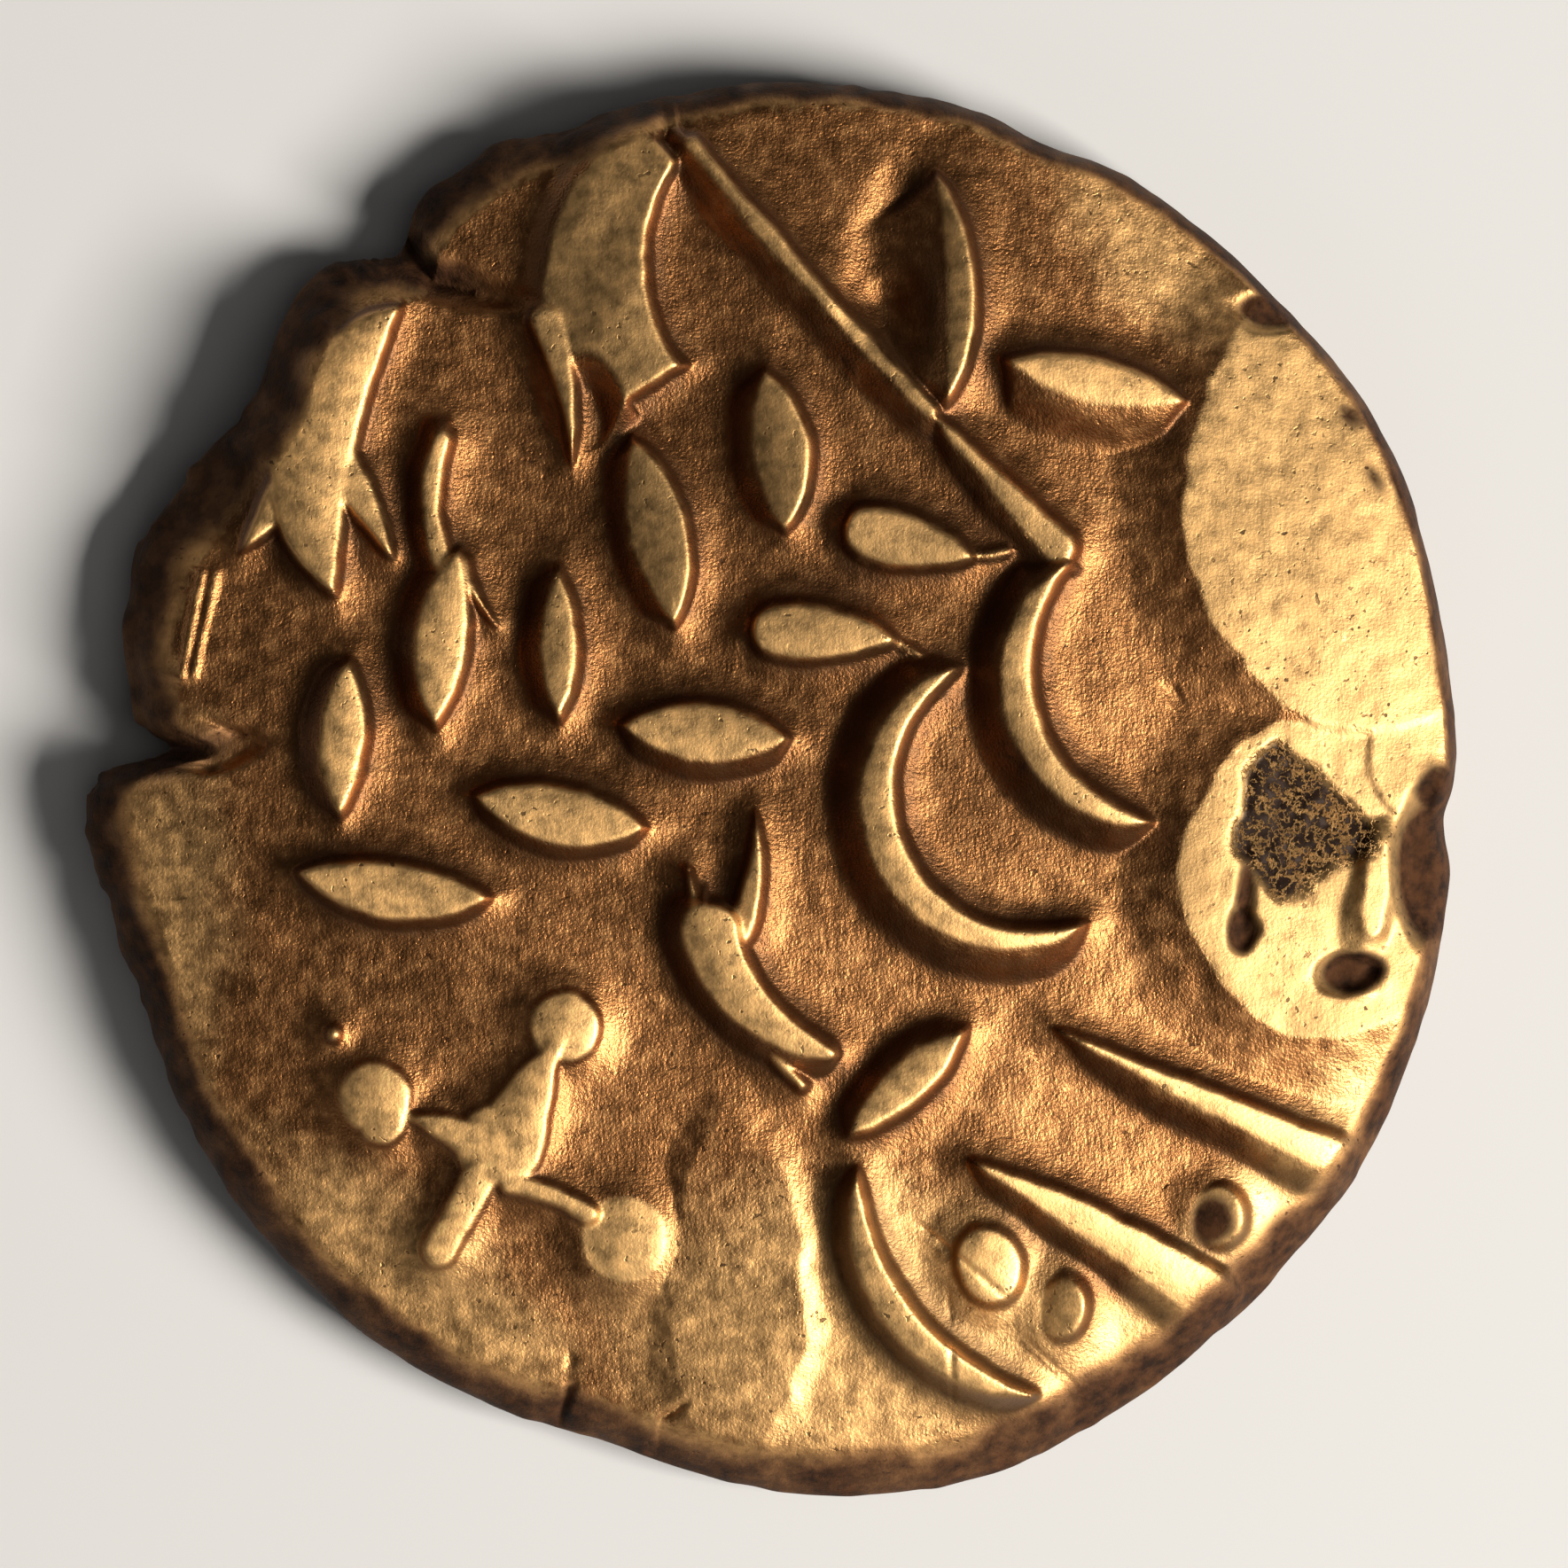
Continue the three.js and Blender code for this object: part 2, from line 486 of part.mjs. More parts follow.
// Triangles that are halved across their longest edges until they follow the surface
class Facets {
  constructor() {
    this.directions = [];
    this.points = [];
    this.corners = [];
    this.beside = new Map();
    this.misses = new Map();
    const ball = new THREE.IcosahedronGeometry(1, FIRST_DETAIL);
    ball.deleteAttribute("normal");
    ball.deleteAttribute("uv");
    const first = mergeVertices(ball, 1e-6);
    const place = first.getAttribute("position");
    for (let index = 0; index < place.count; index += 1) {
      this.addPoint(new THREE.Vector3().fromBufferAttribute(place, index).normalize());
    }
    const order = first.getIndex();
    for (let index = 0; index < order.count; index += 3) {
      this.addFacet([order.getX(index), order.getX(index + 1), order.getX(index + 2)]);
    }
  }

  addPoint(direction) {
    this.directions.push(direction);
    this.points.push(surfacePoint(direction));
    return this.points.length - 1;
  }

  // An edge is named by its two ends, the lower number first
  edgeName(first, second) {
    return first < second ? `${first} ${second}` : `${second} ${first}`;
  }

  setFacet(facet, corners) {
    this.corners[facet] = corners;
    for (let side = 0; side < 3; side += 1) {
      const name = this.edgeName(corners[side], corners[(side + 1) % 3]);
      const facets = this.beside.get(name) ?? [];
      facets.push(facet);
      this.beside.set(name, facets);
    }
  }

  addFacet(corners) {
    this.setFacet(this.corners.length, corners);
  }

  clearFacet(facet) {
    const corners = this.corners[facet];
    for (let side = 0; side < 3; side += 1) {
      const name = this.edgeName(corners[side], corners[(side + 1) % 3]);
      this.beside.set(name, this.beside.get(name).filter((other) => other !== facet));
    }
  }

  // Side with the longest edge on the sphere; equal lengths are told apart by the edge's name
  longestSide(facet) {
    const corners = this.corners[facet];
    let best = { length: -1, name: "", side: 0 };
    for (let side = 0; side < 3; side += 1) {
      const start = corners[side];
      const end = corners[(side + 1) % 3];
      const length = this.directions[start].distanceTo(this.directions[end]);
      const name = this.edgeName(start, end);
      if (length > best.length || (length === best.length && name > best.name)) {
        best = { length, name, side };
      }
    }
    return best;
  }

  // Replace a facet by its two halves, cut from the middle of one side to the corner opposite
  halve(facet, name, middle) {
    const corners = this.corners[facet];
    const side = [0, 1, 2].find((at) => this.edgeName(corners[at], corners[(at + 1) % 3]) === name);
    const start = corners[side];
    const end = corners[(side + 1) % 3];
    const opposite = corners[(side + 2) % 3];
    this.clearFacet(facet);
    this.setFacet(facet, [start, middle, opposite]);
    this.addFacet([middle, end, opposite]);
  }

  // Halve the longest edge of a facet, after the neighbour across it has the same longest edge
  split(facet) {
    const { name } = this.longestSide(facet);
    let other = this.beside.get(name).find((each) => each !== facet);
    while (this.longestSide(other).name !== name) {
      this.split(other);
      other = this.beside.get(name).find((each) => each !== facet);
    }
    const [start, end] = name.split(" ").map(Number);
    const direction = this.directions[start].clone().add(this.directions[end]).normalize();
    const middle = this.addPoint(direction);
    this.halve(facet, name, middle);
    this.halve(other, name, middle);
  }

  // Largest distance between a flat facet with these corners and the surface it stands for
  miss(corners) {
    const [first, second, third] = corners;
    const name = [...corners].sort((one, other) => one - other).join(" ");
    if (this.misses.has(name)) {
      return this.misses.get(name);
    }
    const normal = new THREE.Vector3();
    THREE.Triangle.getNormal(this.points[first], this.points[second], this.points[third], normal);
    let worst = 0;
    for (let i = 0; i <= SAMPLES_PER_SIDE; i += 1) {
      for (let j = 0; j <= SAMPLES_PER_SIDE - i; j += 1) {
        const weights = [i, j, SAMPLES_PER_SIDE - i - j].map((count) => count / SAMPLES_PER_SIDE);
        const mix = (list) => new THREE.Vector3()
          .addScaledVector(list[first], weights[0])
          .addScaledVector(list[second], weights[1])
          .addScaledVector(list[third], weights[2]);
        const gap = surfacePoint(mix(this.directions).normalize()).sub(mix(this.points));
        worst = Math.max(worst, Math.abs(gap.dot(normal)));
      }
    }
    this.misses.set(name, worst);
    return worst;
  }

  // Halve the facets that miss the surface most, until there are enough of them
  refine(limit) {
    for (let tolerance = FIRST_TOLERANCE; tolerance > LAST_TOLERANCE; tolerance *= TOLERANCE_STEP) {
      for (let facet = 0; facet < this.corners.length; facet += 1) {
        if (this.corners.length >= limit) {
          return;
        }
        if (this.longestSide(facet).length > SHORTEST_EDGE && this.miss(this.corners[facet]) > tolerance) {
          this.split(facet);
        }
      }
    }
  }

  // Whether three corners still turn outward on the sphere, and not too thinly
  facesOut([first, second, third]) {
    const across = this.directions[second].clone().sub(this.directions[first]);
    const area = across.cross(this.directions[third].clone().sub(this.directions[first]));
    const longest = Math.max(
      this.directions[first].distanceTo(this.directions[second]),
      this.directions[second].distanceTo(this.directions[third]),
      this.directions[third].distanceTo(this.directions[first]),
    );
    return area.dot(this.directions[first]) > THINNEST_FACET * longest * longest;
  }

  // Move points of the face onto the nearest border of a figure where no facet turns over
  snapPoints() {
    const around = this.points.map(() => []);
    this.corners.forEach((corners, facet) => corners.forEach((corner) => around[corner].push(facet)));
    this.points.forEach((point, index) => {
      const before = this.directions[index];
      const onFace = before.z > Math.cos(Math.PI * FACE_SHARE);
      const border = onFace ? nearestBorder(point.x, point.y) : null;
      const direction = border && faceDirection(...border);
      if (!direction) {
        return;
      }
      this.directions[index] = direction;
      if (around[index].every((facet) => this.facesOut(this.corners[facet]))) {
        this.points[index] = surfacePoint(direction);
      } else {
        this.directions[index] = before;
      }
    });
    this.misses.clear();
  }

  // Turn the edge between two facets to the other diagonal where that follows the surface better
  turnEdge(name) {
    const [facet, other] = this.beside.get(name);
    const corners = this.corners[facet];
    const side = [0, 1, 2].find((at) => this.edgeName(corners[at], corners[(at + 1) % 3]) === name);
    const start = corners[side];
    const end = corners[(side + 1) % 3];
    const near = corners[(side + 2) % 3];
    const far = this.corners[other].find((corner) => corner !== start && corner !== end);
    const turned = [[start, far, near], [far, end, near]];
    if (!turned.every((each) => this.facesOut(each))) {
      return false;
    }
    const before = this.miss(corners) + this.miss(this.corners[other]);
    const after = this.miss(turned[0]) + this.miss(turned[1]);
    if (after > before - SMALLEST_GAIN) {
      return false;
    }
    this.clearFacet(facet);
    this.clearFacet(other);
    this.setFacet(facet, turned[0]);
    this.setFacet(other, turned[1]);
    return true;
  }

  turnEdges() {
    for (let pass = 0; pass < TURN_PASSES; pass += 1) {
      const names = [...this.beside.keys()].filter((name) => this.beside.get(name).length === 2);
      const turned = names.filter((name) => this.beside.get(name).length === 2 && this.turnEdge(name));
      if (turned.length === 0) {
        return;
      }
    }
  }

  geometry() {
    const geometry = new THREE.BufferGeometry();
    geometry.setAttribute("position", new THREE.Float32BufferAttribute(
      this.points.flatMap((point) => point.toArray()), 3));
    geometry.setIndex(this.corners.flat());
    return geometry;
  }
}

// The coin, moved so that its footprint is centred
function buildCoin() {
  const facets = new Facets();
  for (const limit of FACET_LIMITS) {
    facets.refine(limit);
    facets.snapPoints();
    facets.turnEdges();
  }
  const geometry = facets.geometry();
  geometry.computeBoundingBox();
  const middle = geometry.boundingBox.getCenter(new THREE.Vector3());
  geometry.translate(-middle.x, -middle.y, -geometry.boundingBox.min.z);
  geometry.computeVertexNormals();
  const coin = new THREE.Mesh(geometry, GOLD);
  coin.name = "coin";
  return coin;
}

const part = new THREE.Group();
part.name = "gold_coin";
part.add(buildCoin());

export default part;
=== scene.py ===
import math

import bpy
import numpy as np
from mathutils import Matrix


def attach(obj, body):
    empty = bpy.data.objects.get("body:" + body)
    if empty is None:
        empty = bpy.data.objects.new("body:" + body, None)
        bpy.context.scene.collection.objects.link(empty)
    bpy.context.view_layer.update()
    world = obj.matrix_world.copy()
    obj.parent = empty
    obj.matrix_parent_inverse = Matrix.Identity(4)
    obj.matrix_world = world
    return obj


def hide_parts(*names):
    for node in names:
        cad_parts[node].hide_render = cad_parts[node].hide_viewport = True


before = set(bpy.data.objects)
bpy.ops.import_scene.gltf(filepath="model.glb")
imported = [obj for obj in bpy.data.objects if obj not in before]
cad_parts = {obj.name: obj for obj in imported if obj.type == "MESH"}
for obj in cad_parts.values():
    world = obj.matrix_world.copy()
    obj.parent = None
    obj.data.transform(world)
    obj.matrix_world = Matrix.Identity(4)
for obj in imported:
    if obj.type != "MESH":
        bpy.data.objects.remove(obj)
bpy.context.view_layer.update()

MM = 0.001

# Flan, in mm as all lengths below
CROWN_HEIGHT = 2.36
DOME_FALL = 0.86
DOME_POWER = 2.3
EDGE_MIDDLE = 0.68
LAND_INSET = 0.5
LAND_SHARE = 0.76
DISH_DEPTH = 0.5
DISH_POWER = 1.4

# Outline: distance of the edge from the middle every 15 degrees, counterclockwise from +X
RIM_RADII = (
    8.8, 8.88, 9.1, 9.06, 9.12, 9.13, 9.09, 8.92, 8.9, 8.8, 8.46, 8.62,
    8.8, 8.52, 8.57, 8.64, 8.68, 8.6, 8.96, 9.19, 9.07, 8.97, 8.96, 8.83,
)

# Breaks in the edge: direction and half width in degrees, depth, negative for a bulge
RIM_NOTCHES = (
    (172.5, 5, 0.45),
    (176, 1.8, 0.8),
    (125, 3.5, 0.48),
    (142, 5, 0.24),
    (158.5, 4, -0.14),
    (112.5, 4, -0.07),
    (67, 4, 0.12),
    (357.2, 3, 0.16),
)

# Slope beside the face every 30 degrees: its width, how steeply it leaves the face, how rough it is
SLOPE_WIDTHS = (0.2, 0.18, 0.22, 0.34, 0.62, 0.8, 0.62, 0.5, 0.5, 0.6, 0.6, 0.4)
SLOPE_STARTS = (0.3, 0.3, 0.3, 0.4, 0.6, 0.6, 0.5, 0.5, 0.7, 0.8, 0.8, 0.7)
EDGE_ROUGHNESS = (0.02, 0.02, 0.02, 0.05, 0.1, 0.11, 0.08, 0.05, 0.03, 0.03, 0.03, 0.03)

# Relief
LEAF_HEIGHT = 0.46
CRESCENT_HEIGHT = 0.54
BAR_HEIGHT = 0.38
FAINT_HEIGHT = 0.27
THORN_HEIGHT = 0.38
FLANK_INSIDE = 0.08
FLANK_OUTSIDE = 0.11
TOP_ROUND = 0.13
LIP_POWER = 1.5
POLISHED_HEIGHT = 0.2
SWELL_HEIGHT = 0.13
SWELL_WIDTH = 0.5
TIP_HALF = 0.15
THIN = 0.25

# Fall of the figures' tops towards -X, at places from left to right
FALL_PLACES = (-6.0, -4.0, -1.5, 2.0, 5.0)
TOP_FALLS = (-0.08, -0.04, 0.2, 0.32, 0.05)

# Figures drawn tip to tip along an arc: from, to, bow to the left of the chord, width, and how much
# wider the flank is on the left, or on the right if negative
LEAVES = (
    ((-5.39, 1.69), (-5.5, -0.32), 0, 0.66, -0.2),
    ((-3.97, 3.09), (-4.27, 0.81), -0.07, 0.74, -0.2),
    ((-2.7, 2.88), (-2.69, 0.89), 0, 0.56, -0.2),
    ((-1.75, 4.5), (-1.22, 2.13), 0.07, 0.8, -0.22),
    ((-0.08, 5.4), (0.19, 3.33), 0.09, 0.8, -0.26),
    ((-1.9, 0.85), (0.26, 0.69), 0, 0.82, -0.2),
    ((-3.77, -0.05), (-1.58, -0.46), -0.04, 0.84, -0.1),
    ((-6.04, -1.02), (-3.57, -1.35), -0.07, 0.82, -0.06),
    ((2.97, 5.52), (5.33, 4.99), 0, 0.66, -0.5),
    ((2.11, 7.93), (2.24, 4.9), 0.27, 0.46, -0.95),
    ((0.99, -4.39), (2.51, -3.01), 0, 0.62, 0.2),
    ((-4.72, 6.22), (-5.55, 2.5), -0.7, 1.14, 0),
)
DROPS = (
    ((0.95, 3.4), (2.62, 2.98), 0, 0.8, 0),
    ((-0.24, 2.05), (1.62, 1.93), 0.04, 0.82, 0),
)
CRESCENTS = (
    ((3.85, 2.95), (4.85, -0.38), -1.18, 0.5, -0.35),
    ((2.4, 1.59), (3.99, -1.69), -1.83, 0.52, -0.35),
    ((1.11, -4.82), (3.4, -7.71), -0.75, 0.5, -0.12),
)
HORNS = (
    ((-0.76, -1.78), (0.86, -3.35), -0.33, 0.82, -0.2),
)
THORNS = (
    ((-0.84, -1.89), (-1.07, -0.96), 0, 0.36, 0),
    ((-0.42, -1.78), (-0.19, -0.28), -0.1, 0.44, 0),
    ((-5.7, 4.4), (-4.84, 3.0), 0.05, 0.75, 0),
    ((-5.9, 4.4), (-6.78, 3.06), 0.05, 0.75, 0),
    ((-2.86, 6.0), (-2.54, 4.2), 0.1, 0.5, 0),
    ((-3.95, 2.9), (-3.49, 2.11), -0.03, 0.26, 0),
)
SPIKES = (
    ((2.0, 4.9), (3.67, 3.13), 0, 0.52, -0.2),
    ((3.65, -3.03), (7.23, -4.68), 0, 0.56, -0.3),
    ((2.57, -4.71), (5.67, -6.51), 0.09, 0.8, -0.25),
)
FAINT_SPIKES = (
    ((-4.62, -4.12), (-3.5, -4.55), 0, 0.7, 0),
    ((-2.75, -3.2), (-3.38, -4.5), 0, 1.05, 0),
)
FANS = (
    ((-1.45, 8.35), (-1.8, 4.97), -0.6, 1.72, -0.25),
)
FAN_CUT = ((-2.3, 4.75), (0.42, 0.8), 10)
STEMS = (
    ((-4.19, 4.5), (-4.02, 2.6), -0.21, 0.3, -0.15),
    ((-0.99, 8.28), (2.03, 4.88), -0.06, 0.28, -0.3),
    ((2.4, 3.06), (3.03, 3.08), -0.05, 0.14, 0),
    ((1.49, 1.95), (1.9, 1.74), 0.02, 0.11, 0),
    ((0.06, -3.38), (0.4, -3.74), 0, 0.2, 0),
    ((-6.01, 5.72), (-5.33, 6.29), 0, 0.14, 0),
    ((-7.27, 2.83), (-7.53, 1.49), 0, 0.09, 0),
    ((-7.09, 2.83), (-7.38, 1.49), 0, 0.08, 0),
)
FAINT_STEMS = (
    ((-2.64, -3.02), (-3.15, -4.1), 0, 0.36, 0),
    ((-4.7, -4.1), (-4.3, -4.27), 0, 0.2, 0),
    ((-3.72, -4.9), (-4.22, -5.85), 0, 0.5, 0),
    ((-3.34, -5.0), (-2.34, -5.38), 0.06, 0.3, 0),
)

# Pellets: middle, half sizes, turn in degrees, height, and how far the top rises to the right
PELLETS = (
    ((2.78, -6.04), (0.46, 0.56), 20, 0.32, 0.05),
    ((3.72, -6.6), (0.36, 0.46), -12, 0.28, 0.18),
    ((5.73, -5.43), (0.38, 0.42), 0, 0.28, 0.16),
    ((-5.06, -3.91), (0.5, 0.5), 0, 0.27, 0.02),
    ((-4.96, -4.22), (0.34, 0.34), 0, 0.27, 0.02),
    ((-2.62, -3.0), (0.49, 0.49), 0, 0.27, 0.02),
    ((-1.86, -5.72), (0.59, 0.59), 0, 0.19, 0.02),
    ((-3.46, -4.5), (0.6, 0.56), 0, 0.27, 0),
    ((-5.57, -3.09), (0.12, 0.12), 0, 0.3, 0),
)

# Raised patches and hollows: middle, half sizes, turn in degrees, height or depth, width of the slope
PATCHES = (
    ((7.5, 3.6), (2.2, 2.9), 10, 0.3, 0.9),
    ((8.2, 0.6), (0.6, 0.9), 0, 0.28, 0.5),
    ((7.05, -1.05), (1.8, 2.0), 0, 0.25, 0.9),
    ((-0.44, -6.44), (0.9, 2.15), 0, 0.08, 0.3),
    ((7.72, -1.4), (0.2, 0.62), -8, 0.42, 0.55),
)
HOLLOWS = (
    ((6.06, -1.25), (0.06, 0.4), -6, 0.1, 0.1),
    ((6.0, -1.78), (0.15, 0.24), 0, 0.14, 0.1),
    ((7.52, -2.26), (0.34, 0.2), 14, 0.24, 0.16),
    ((8.45, -1.1), (0.42, 0.9), 0, 0.4, 0.3),
    ((6.3, 6.15), (0.36, 0.14), -10, 0.14, 0.2),
    ((-2.57, -7.95), (0.15, 0.45), 0, 0.4, 0.2),
    ((-4.4, 6.6), (0.65, 0.14), -14, 0.3, 0.25),
    ((-7.0, 0.5), (0.35, 0.16), 20, 0.2, 0.2),
    ((-2.15, 7.0), (0.3, 0.9), -24, 0.08, 0.6),
    ((1.6, 6.9), (0.45, 1.1), -20, 0.16, 0.7),
    ((1.65, 5.95), (0.35, 0.5), 0, 0.12, 0.5),
)

# Scratches and cracks: from, to, width, depth
SCRATCHES = (
    ((1.74, -5.39), (3.14, -6.56), 0.05, 0.05),
    ((2.23, -6.04), (2.31, -6.78), 0.05, 0.04),
    ((2.31, -7.08), (2.33, -7.78), 0.05, 0.04),
    ((3.0, -6.87), (3.83, -7.65), 0.04, 0.05),
    ((3.08, -6.82), (3.9, -7.58), 0.04, 0.05),
    ((5.01, 1.4), (5.27, 0.93), 0.04, 0.04),
    ((5.1, 1.42), (5.36, 0.95), 0.04, 0.04),
    ((-1.42, -8.04), (-1.03, -7.78), 0.06, 0.08),
    ((-8.0, 0.35), (-7.05, 0.27), 0.08, 0.16),
    ((-4.95, 6.75), (-3.8, 6.38), 0.1, 0.2),
    ((-7.3, 0.95), (-6.75, 0.72), 0.08, 0.08),
    ((-2.85, -8.1), (-2.5, -7.55), 0.08, 0.15),
)

# Broad unevenness of the face: middle, half sizes, height, or depth if negative
WAVES = (
    ((-2.8, 3.6), (3.6, 4.2), -0.3),
    ((1.5, -7.0), (3.0, 2.0), 0.1),
)

# A corroded place on the island made of ovals: middle, half sizes, turn in degrees
CRATERS = (
    ((6.55, -0.3), (0.62, 0.85), 0),
    ((6.95, -0.4), (0.72, 0.55), -25),
)

# Dark stains: middle, half sizes, turn in degrees, width of the border
STAINS = (
    ((6.06, -1.25), (0.1, 0.42), -6, 0.1),
    ((6.0, -1.78), (0.19, 0.28), 0, 0.1),
    ((7.52, -2.26), (0.42, 0.27), 14, 0.12),
    ((8.47, -1.1), (0.5, 1.0), 0, 0.2),
    ((8.6, 0.0), (0.34, 0.36), 0, 0.2),
    ((5.66, -5.45), (0.28, 0.34), 0, 0.2),
    ((6.35, 6.15), (0.4, 0.15), -10, 0.1),
    ((7.4, 4.8), (0.24, 0.13), -40, 0.14),
    ((7.72, 4.02), (0.1, 0.22), 30, 0.14),
    ((-2.57, -8.0), (0.35, 0.4), 0, 0.15),
    ((-4.5, 6.65), (0.8, 0.25), -14, 0.3),
    ((-7.9, 0.4), (1.0, 0.3), 15, 0.3),
)

# Places painted dark as shade: middle, half sizes, strength
SHADED_PLACES = (
    ((0.3, 4.2), (4.2, 4.6), 0.35),
    ((-2.75, 6.7), (0.75, 1.5), 0.45),
    ((1.95, 6.3), (0.5, 1.2), 0.5),
    ((2.9, 0.1), (1.2, 1.2), 0.55),
    ((0.9, 2.7), (0.9, 0.6), 0.5),
    ((5.2, -0.95), (0.5, 0.9), 0.5),
    ((5.5, -2.3), (0.4, 0.7), 0.4),
    ((7.3, -1.3), (0.14, 0.45), 0.5),
)

# Broad places worn pale: middle, half sizes, turn in degrees, width of the border
WORN_PLACES = (
    ((1.0, -6.9), (3.0, 1.9), 0, 1.6),
    ((-4.6, -6.4), (2.6, 0.9), -38, 1.0),
    ((-7.9, -1.6), (0.9, 2.4), -4, 1.0),
    ((5.8, -6.0), (0.7, 3.4), -42, 0.6),
    ((5.1, 6.7), (0.7, 1.6), 48, 0.8),
)

# Underside
UNDER_RING_RADIUS = 3.6
UNDER_RING_COUNT = 7
UNDER_PELLET_RADIUS = 0.8
UNDER_BOSS_RADIUS = 1.1
UNDER_HEIGHT = 0.14
UNDER_FLANK = 0.5

# Unevenness in layers: height, the size it changes over, seed
OUTLINE_WOBBLE = ((0.02, 0.45, 1), (0.012, 0.18, 2))
BORDER_WOBBLE = ((0.09, 0.7, 6), (0.04, 0.25, 7))
FIELD_UNEVENNESS = ((0.025, 1.6, 3), (0.012, 0.6, 4), (0.006, 0.16, 5))
CRATER_LUMPS = ((0.6, 0.3, 8), (0.4, 0.11, 9))
EDGE_UNEVENNESS = ((0.7, 0.8, 31), (0.5, 0.25, 32))
EDGE_PATCHES = ((0.35, 0.8, 21), (0.3, 0.25, 22))
EDGE_FRINGE = ((0.25, 0.5, 23),)

# Softening of the heights and of the swell, and how much smoother the tops are than the field
SOFTENING = 0.02
SWELL_SOFTENING = 0.08
TOP_BORDER = 0.1
TOP_SMOOTHNESS = 0.6

# The corroded place: its depth, the height of its lumps, its border and how uneven that is
CRATER_DEPTH = 0.08
CRATER_LUMP = 0.07
CRATER_BORDER = 0.06
CRATER_WOBBLE = 1.6

# Wear: where patches are polished and worn, how pale worn places get and how uneven their borders are
POLISH_BORDER = (-0.12, 0.06)
POLISH_WORN = (0.4, 0.9)
WORN_SHARE = 0.65
WORN_WOBBLE = 2
STAIN_WOBBLE = 0.6

# Dark ground, partly patina where it is sunk and partly painted shade on steep flanks and around figures:
# depth below its surroundings and slope at which it is darkest, the shares of both, how much clearer the
# tops stay, and the dim painted shade halo around figures
SUNK_REACH = 0.2
SUNK_DEPTH = 0.09
SUNK_SHARE = 0.85
STEEP_SHADE_SLOPES = (0.6, 1.1)
STEEP_SHADE_SHARE = 0.9
TOP_CLEARNESS = 0.7
SHADE_HALO_WIDTH = 0.55
SHADE_HALO_SHARE = 0.2

# Stain on the edge, partly patina on the broken edge and partly painted shade and a painted dark
# reflection on its slope: heights at which the face's wear ends, its fade at the shoulder, and its
# strength
WEAR_END = (EDGE_MIDDLE - 0.3, EDGE_MIDDLE + 0.2)
SHOULDER_FADE = (0.1, -0.05)
EDGE_STAIN_AND_SHADE_PLACE = (-0.2, 0.45)
EDGE_STAIN_AND_SHADE_LEAST = 0.8
EDGE_STAIN_AND_SHADE_SPREAD = 0.3
EDGE_WORN = 0.6

# Mesh
MAP_HALF = 9.6
MAP_STEP = 0.02
FACE_CELLS = 420
EDGE_RINGS = 24
UNDER_CELLS = 105
TRIANGLE_LIMIT = 196000
OUTLINE_STEP = 0.25

# Gold: colours, and sizes and heights of its grain
FIELD_GOLD = (0.41, 0.18, 0.063, 1)
WORN_GOLD = (0.97, 0.59, 0.235, 1)
# Brown for patina in sunk places and for painted shade on steep flanks, around figures and in shaded
# places
PATINA_AND_SHADE_BROWN = (0.032, 0.012, 0.0045, 1)
# Crust colours, also used for painted shade and a painted dark reflection on the edge slope
DARK_CRUST_AND_EDGE_SHADE = (0.018, 0.008, 0.004, 1)
BROWN_CRUST_AND_EDGE_SHADE = (0.07, 0.029, 0.012, 1)
CORROSION = (0.014, 0.007, 0.004, 1)
VEIN_GOLD = (0.62, 0.36, 0.14, 1)
BROAD_SIZE = 1.6
FINE_SIZE = 0.22
GRAIN_SIZE = 0.04
STREAK_SIZE = 0.07
STREAK_STRETCH = 5
PIT_SIZE = 0.09
PIT_GROUP_SIZE = 0.7
VEIN_SIZE = 0.16
VEIN_PATCH_SIZE = 0.35
FIELD_GRAIN = 0.013
TOP_GRAIN = 0.005
STREAK_SHARE = 0.6
PIT_DEPTH = 0.004
VEIN_HEIGHT = 0.05
POLISHED_TONE = 0.62
FIELD_ROUGHNESS = 0.42
WORN_ROUGHNESS = 0.52
STAIN_ROUGHNESS = 0.3

# Stage, in metres: lights with power, size, azimuth and elevation in degrees, distance, colour
LIGHTS = (
    ("key", 2.1, 0.13, -22, 40, 0.3, (1, 0.95, 0.88)),
    ("overhead", 0.12, 0.3, 0, 75, 0.45, (1, 0.97, 0.94)),
    ("fill", 0.1, 0.2, 270, 35, 0.35, (1, 0.97, 0.94)),
)
AMBIENT = (0.04, 0.04, 0.04, 1)
FLOOR_HALF = 0.6
FLOOR_GREY = (0.5, 0.5, 0.5, 1)
FLOOR_ROUGHNESS = 0.8

# Photograph: pixels to the millimetre, and the pixel of the design's middle
PIXELS = 1769
PIXELS_PER_MM = 88
MIDDLE_PIXEL = (869, 893.5)
CAMERA_HEIGHT = 0.35
CAMERA_CLIP = 0.01
SENSOR = 36


def smooth_step(low, high, value):
    share = np.clip((value - low) / (high - low), 0, 1)
    return share * share * (3 - 2 * share)


def noise(x, y, size, seed):
    """Smooth random heights from -1 to 1 that change over the given size."""
    lattice = np.random.default_rng(seed).uniform(-1, 1, (256, 256))
    column = x / size + 1000
    row = y / size + 1000
    left = np.floor(column).astype(int)
    low = np.floor(row).astype(int)
    across = smooth_step(0, 1, column - left)
    up = smooth_step(0, 1, row - low)

    def pick(i, j):
        return lattice[(low + j) % 256, (left + i) % 256]

    lower = pick(0, 0) * (1 - across) + pick(1, 0) * across
    upper = pick(0, 1) * (1 - across) + pick(1, 1) * across
    return lower * (1 - up) + upper * up


def layered(x, y, layers):
    """Noise of several sizes added up."""
    return sum(height * noise(x, y, size, seed) for height, size, seed in layers)


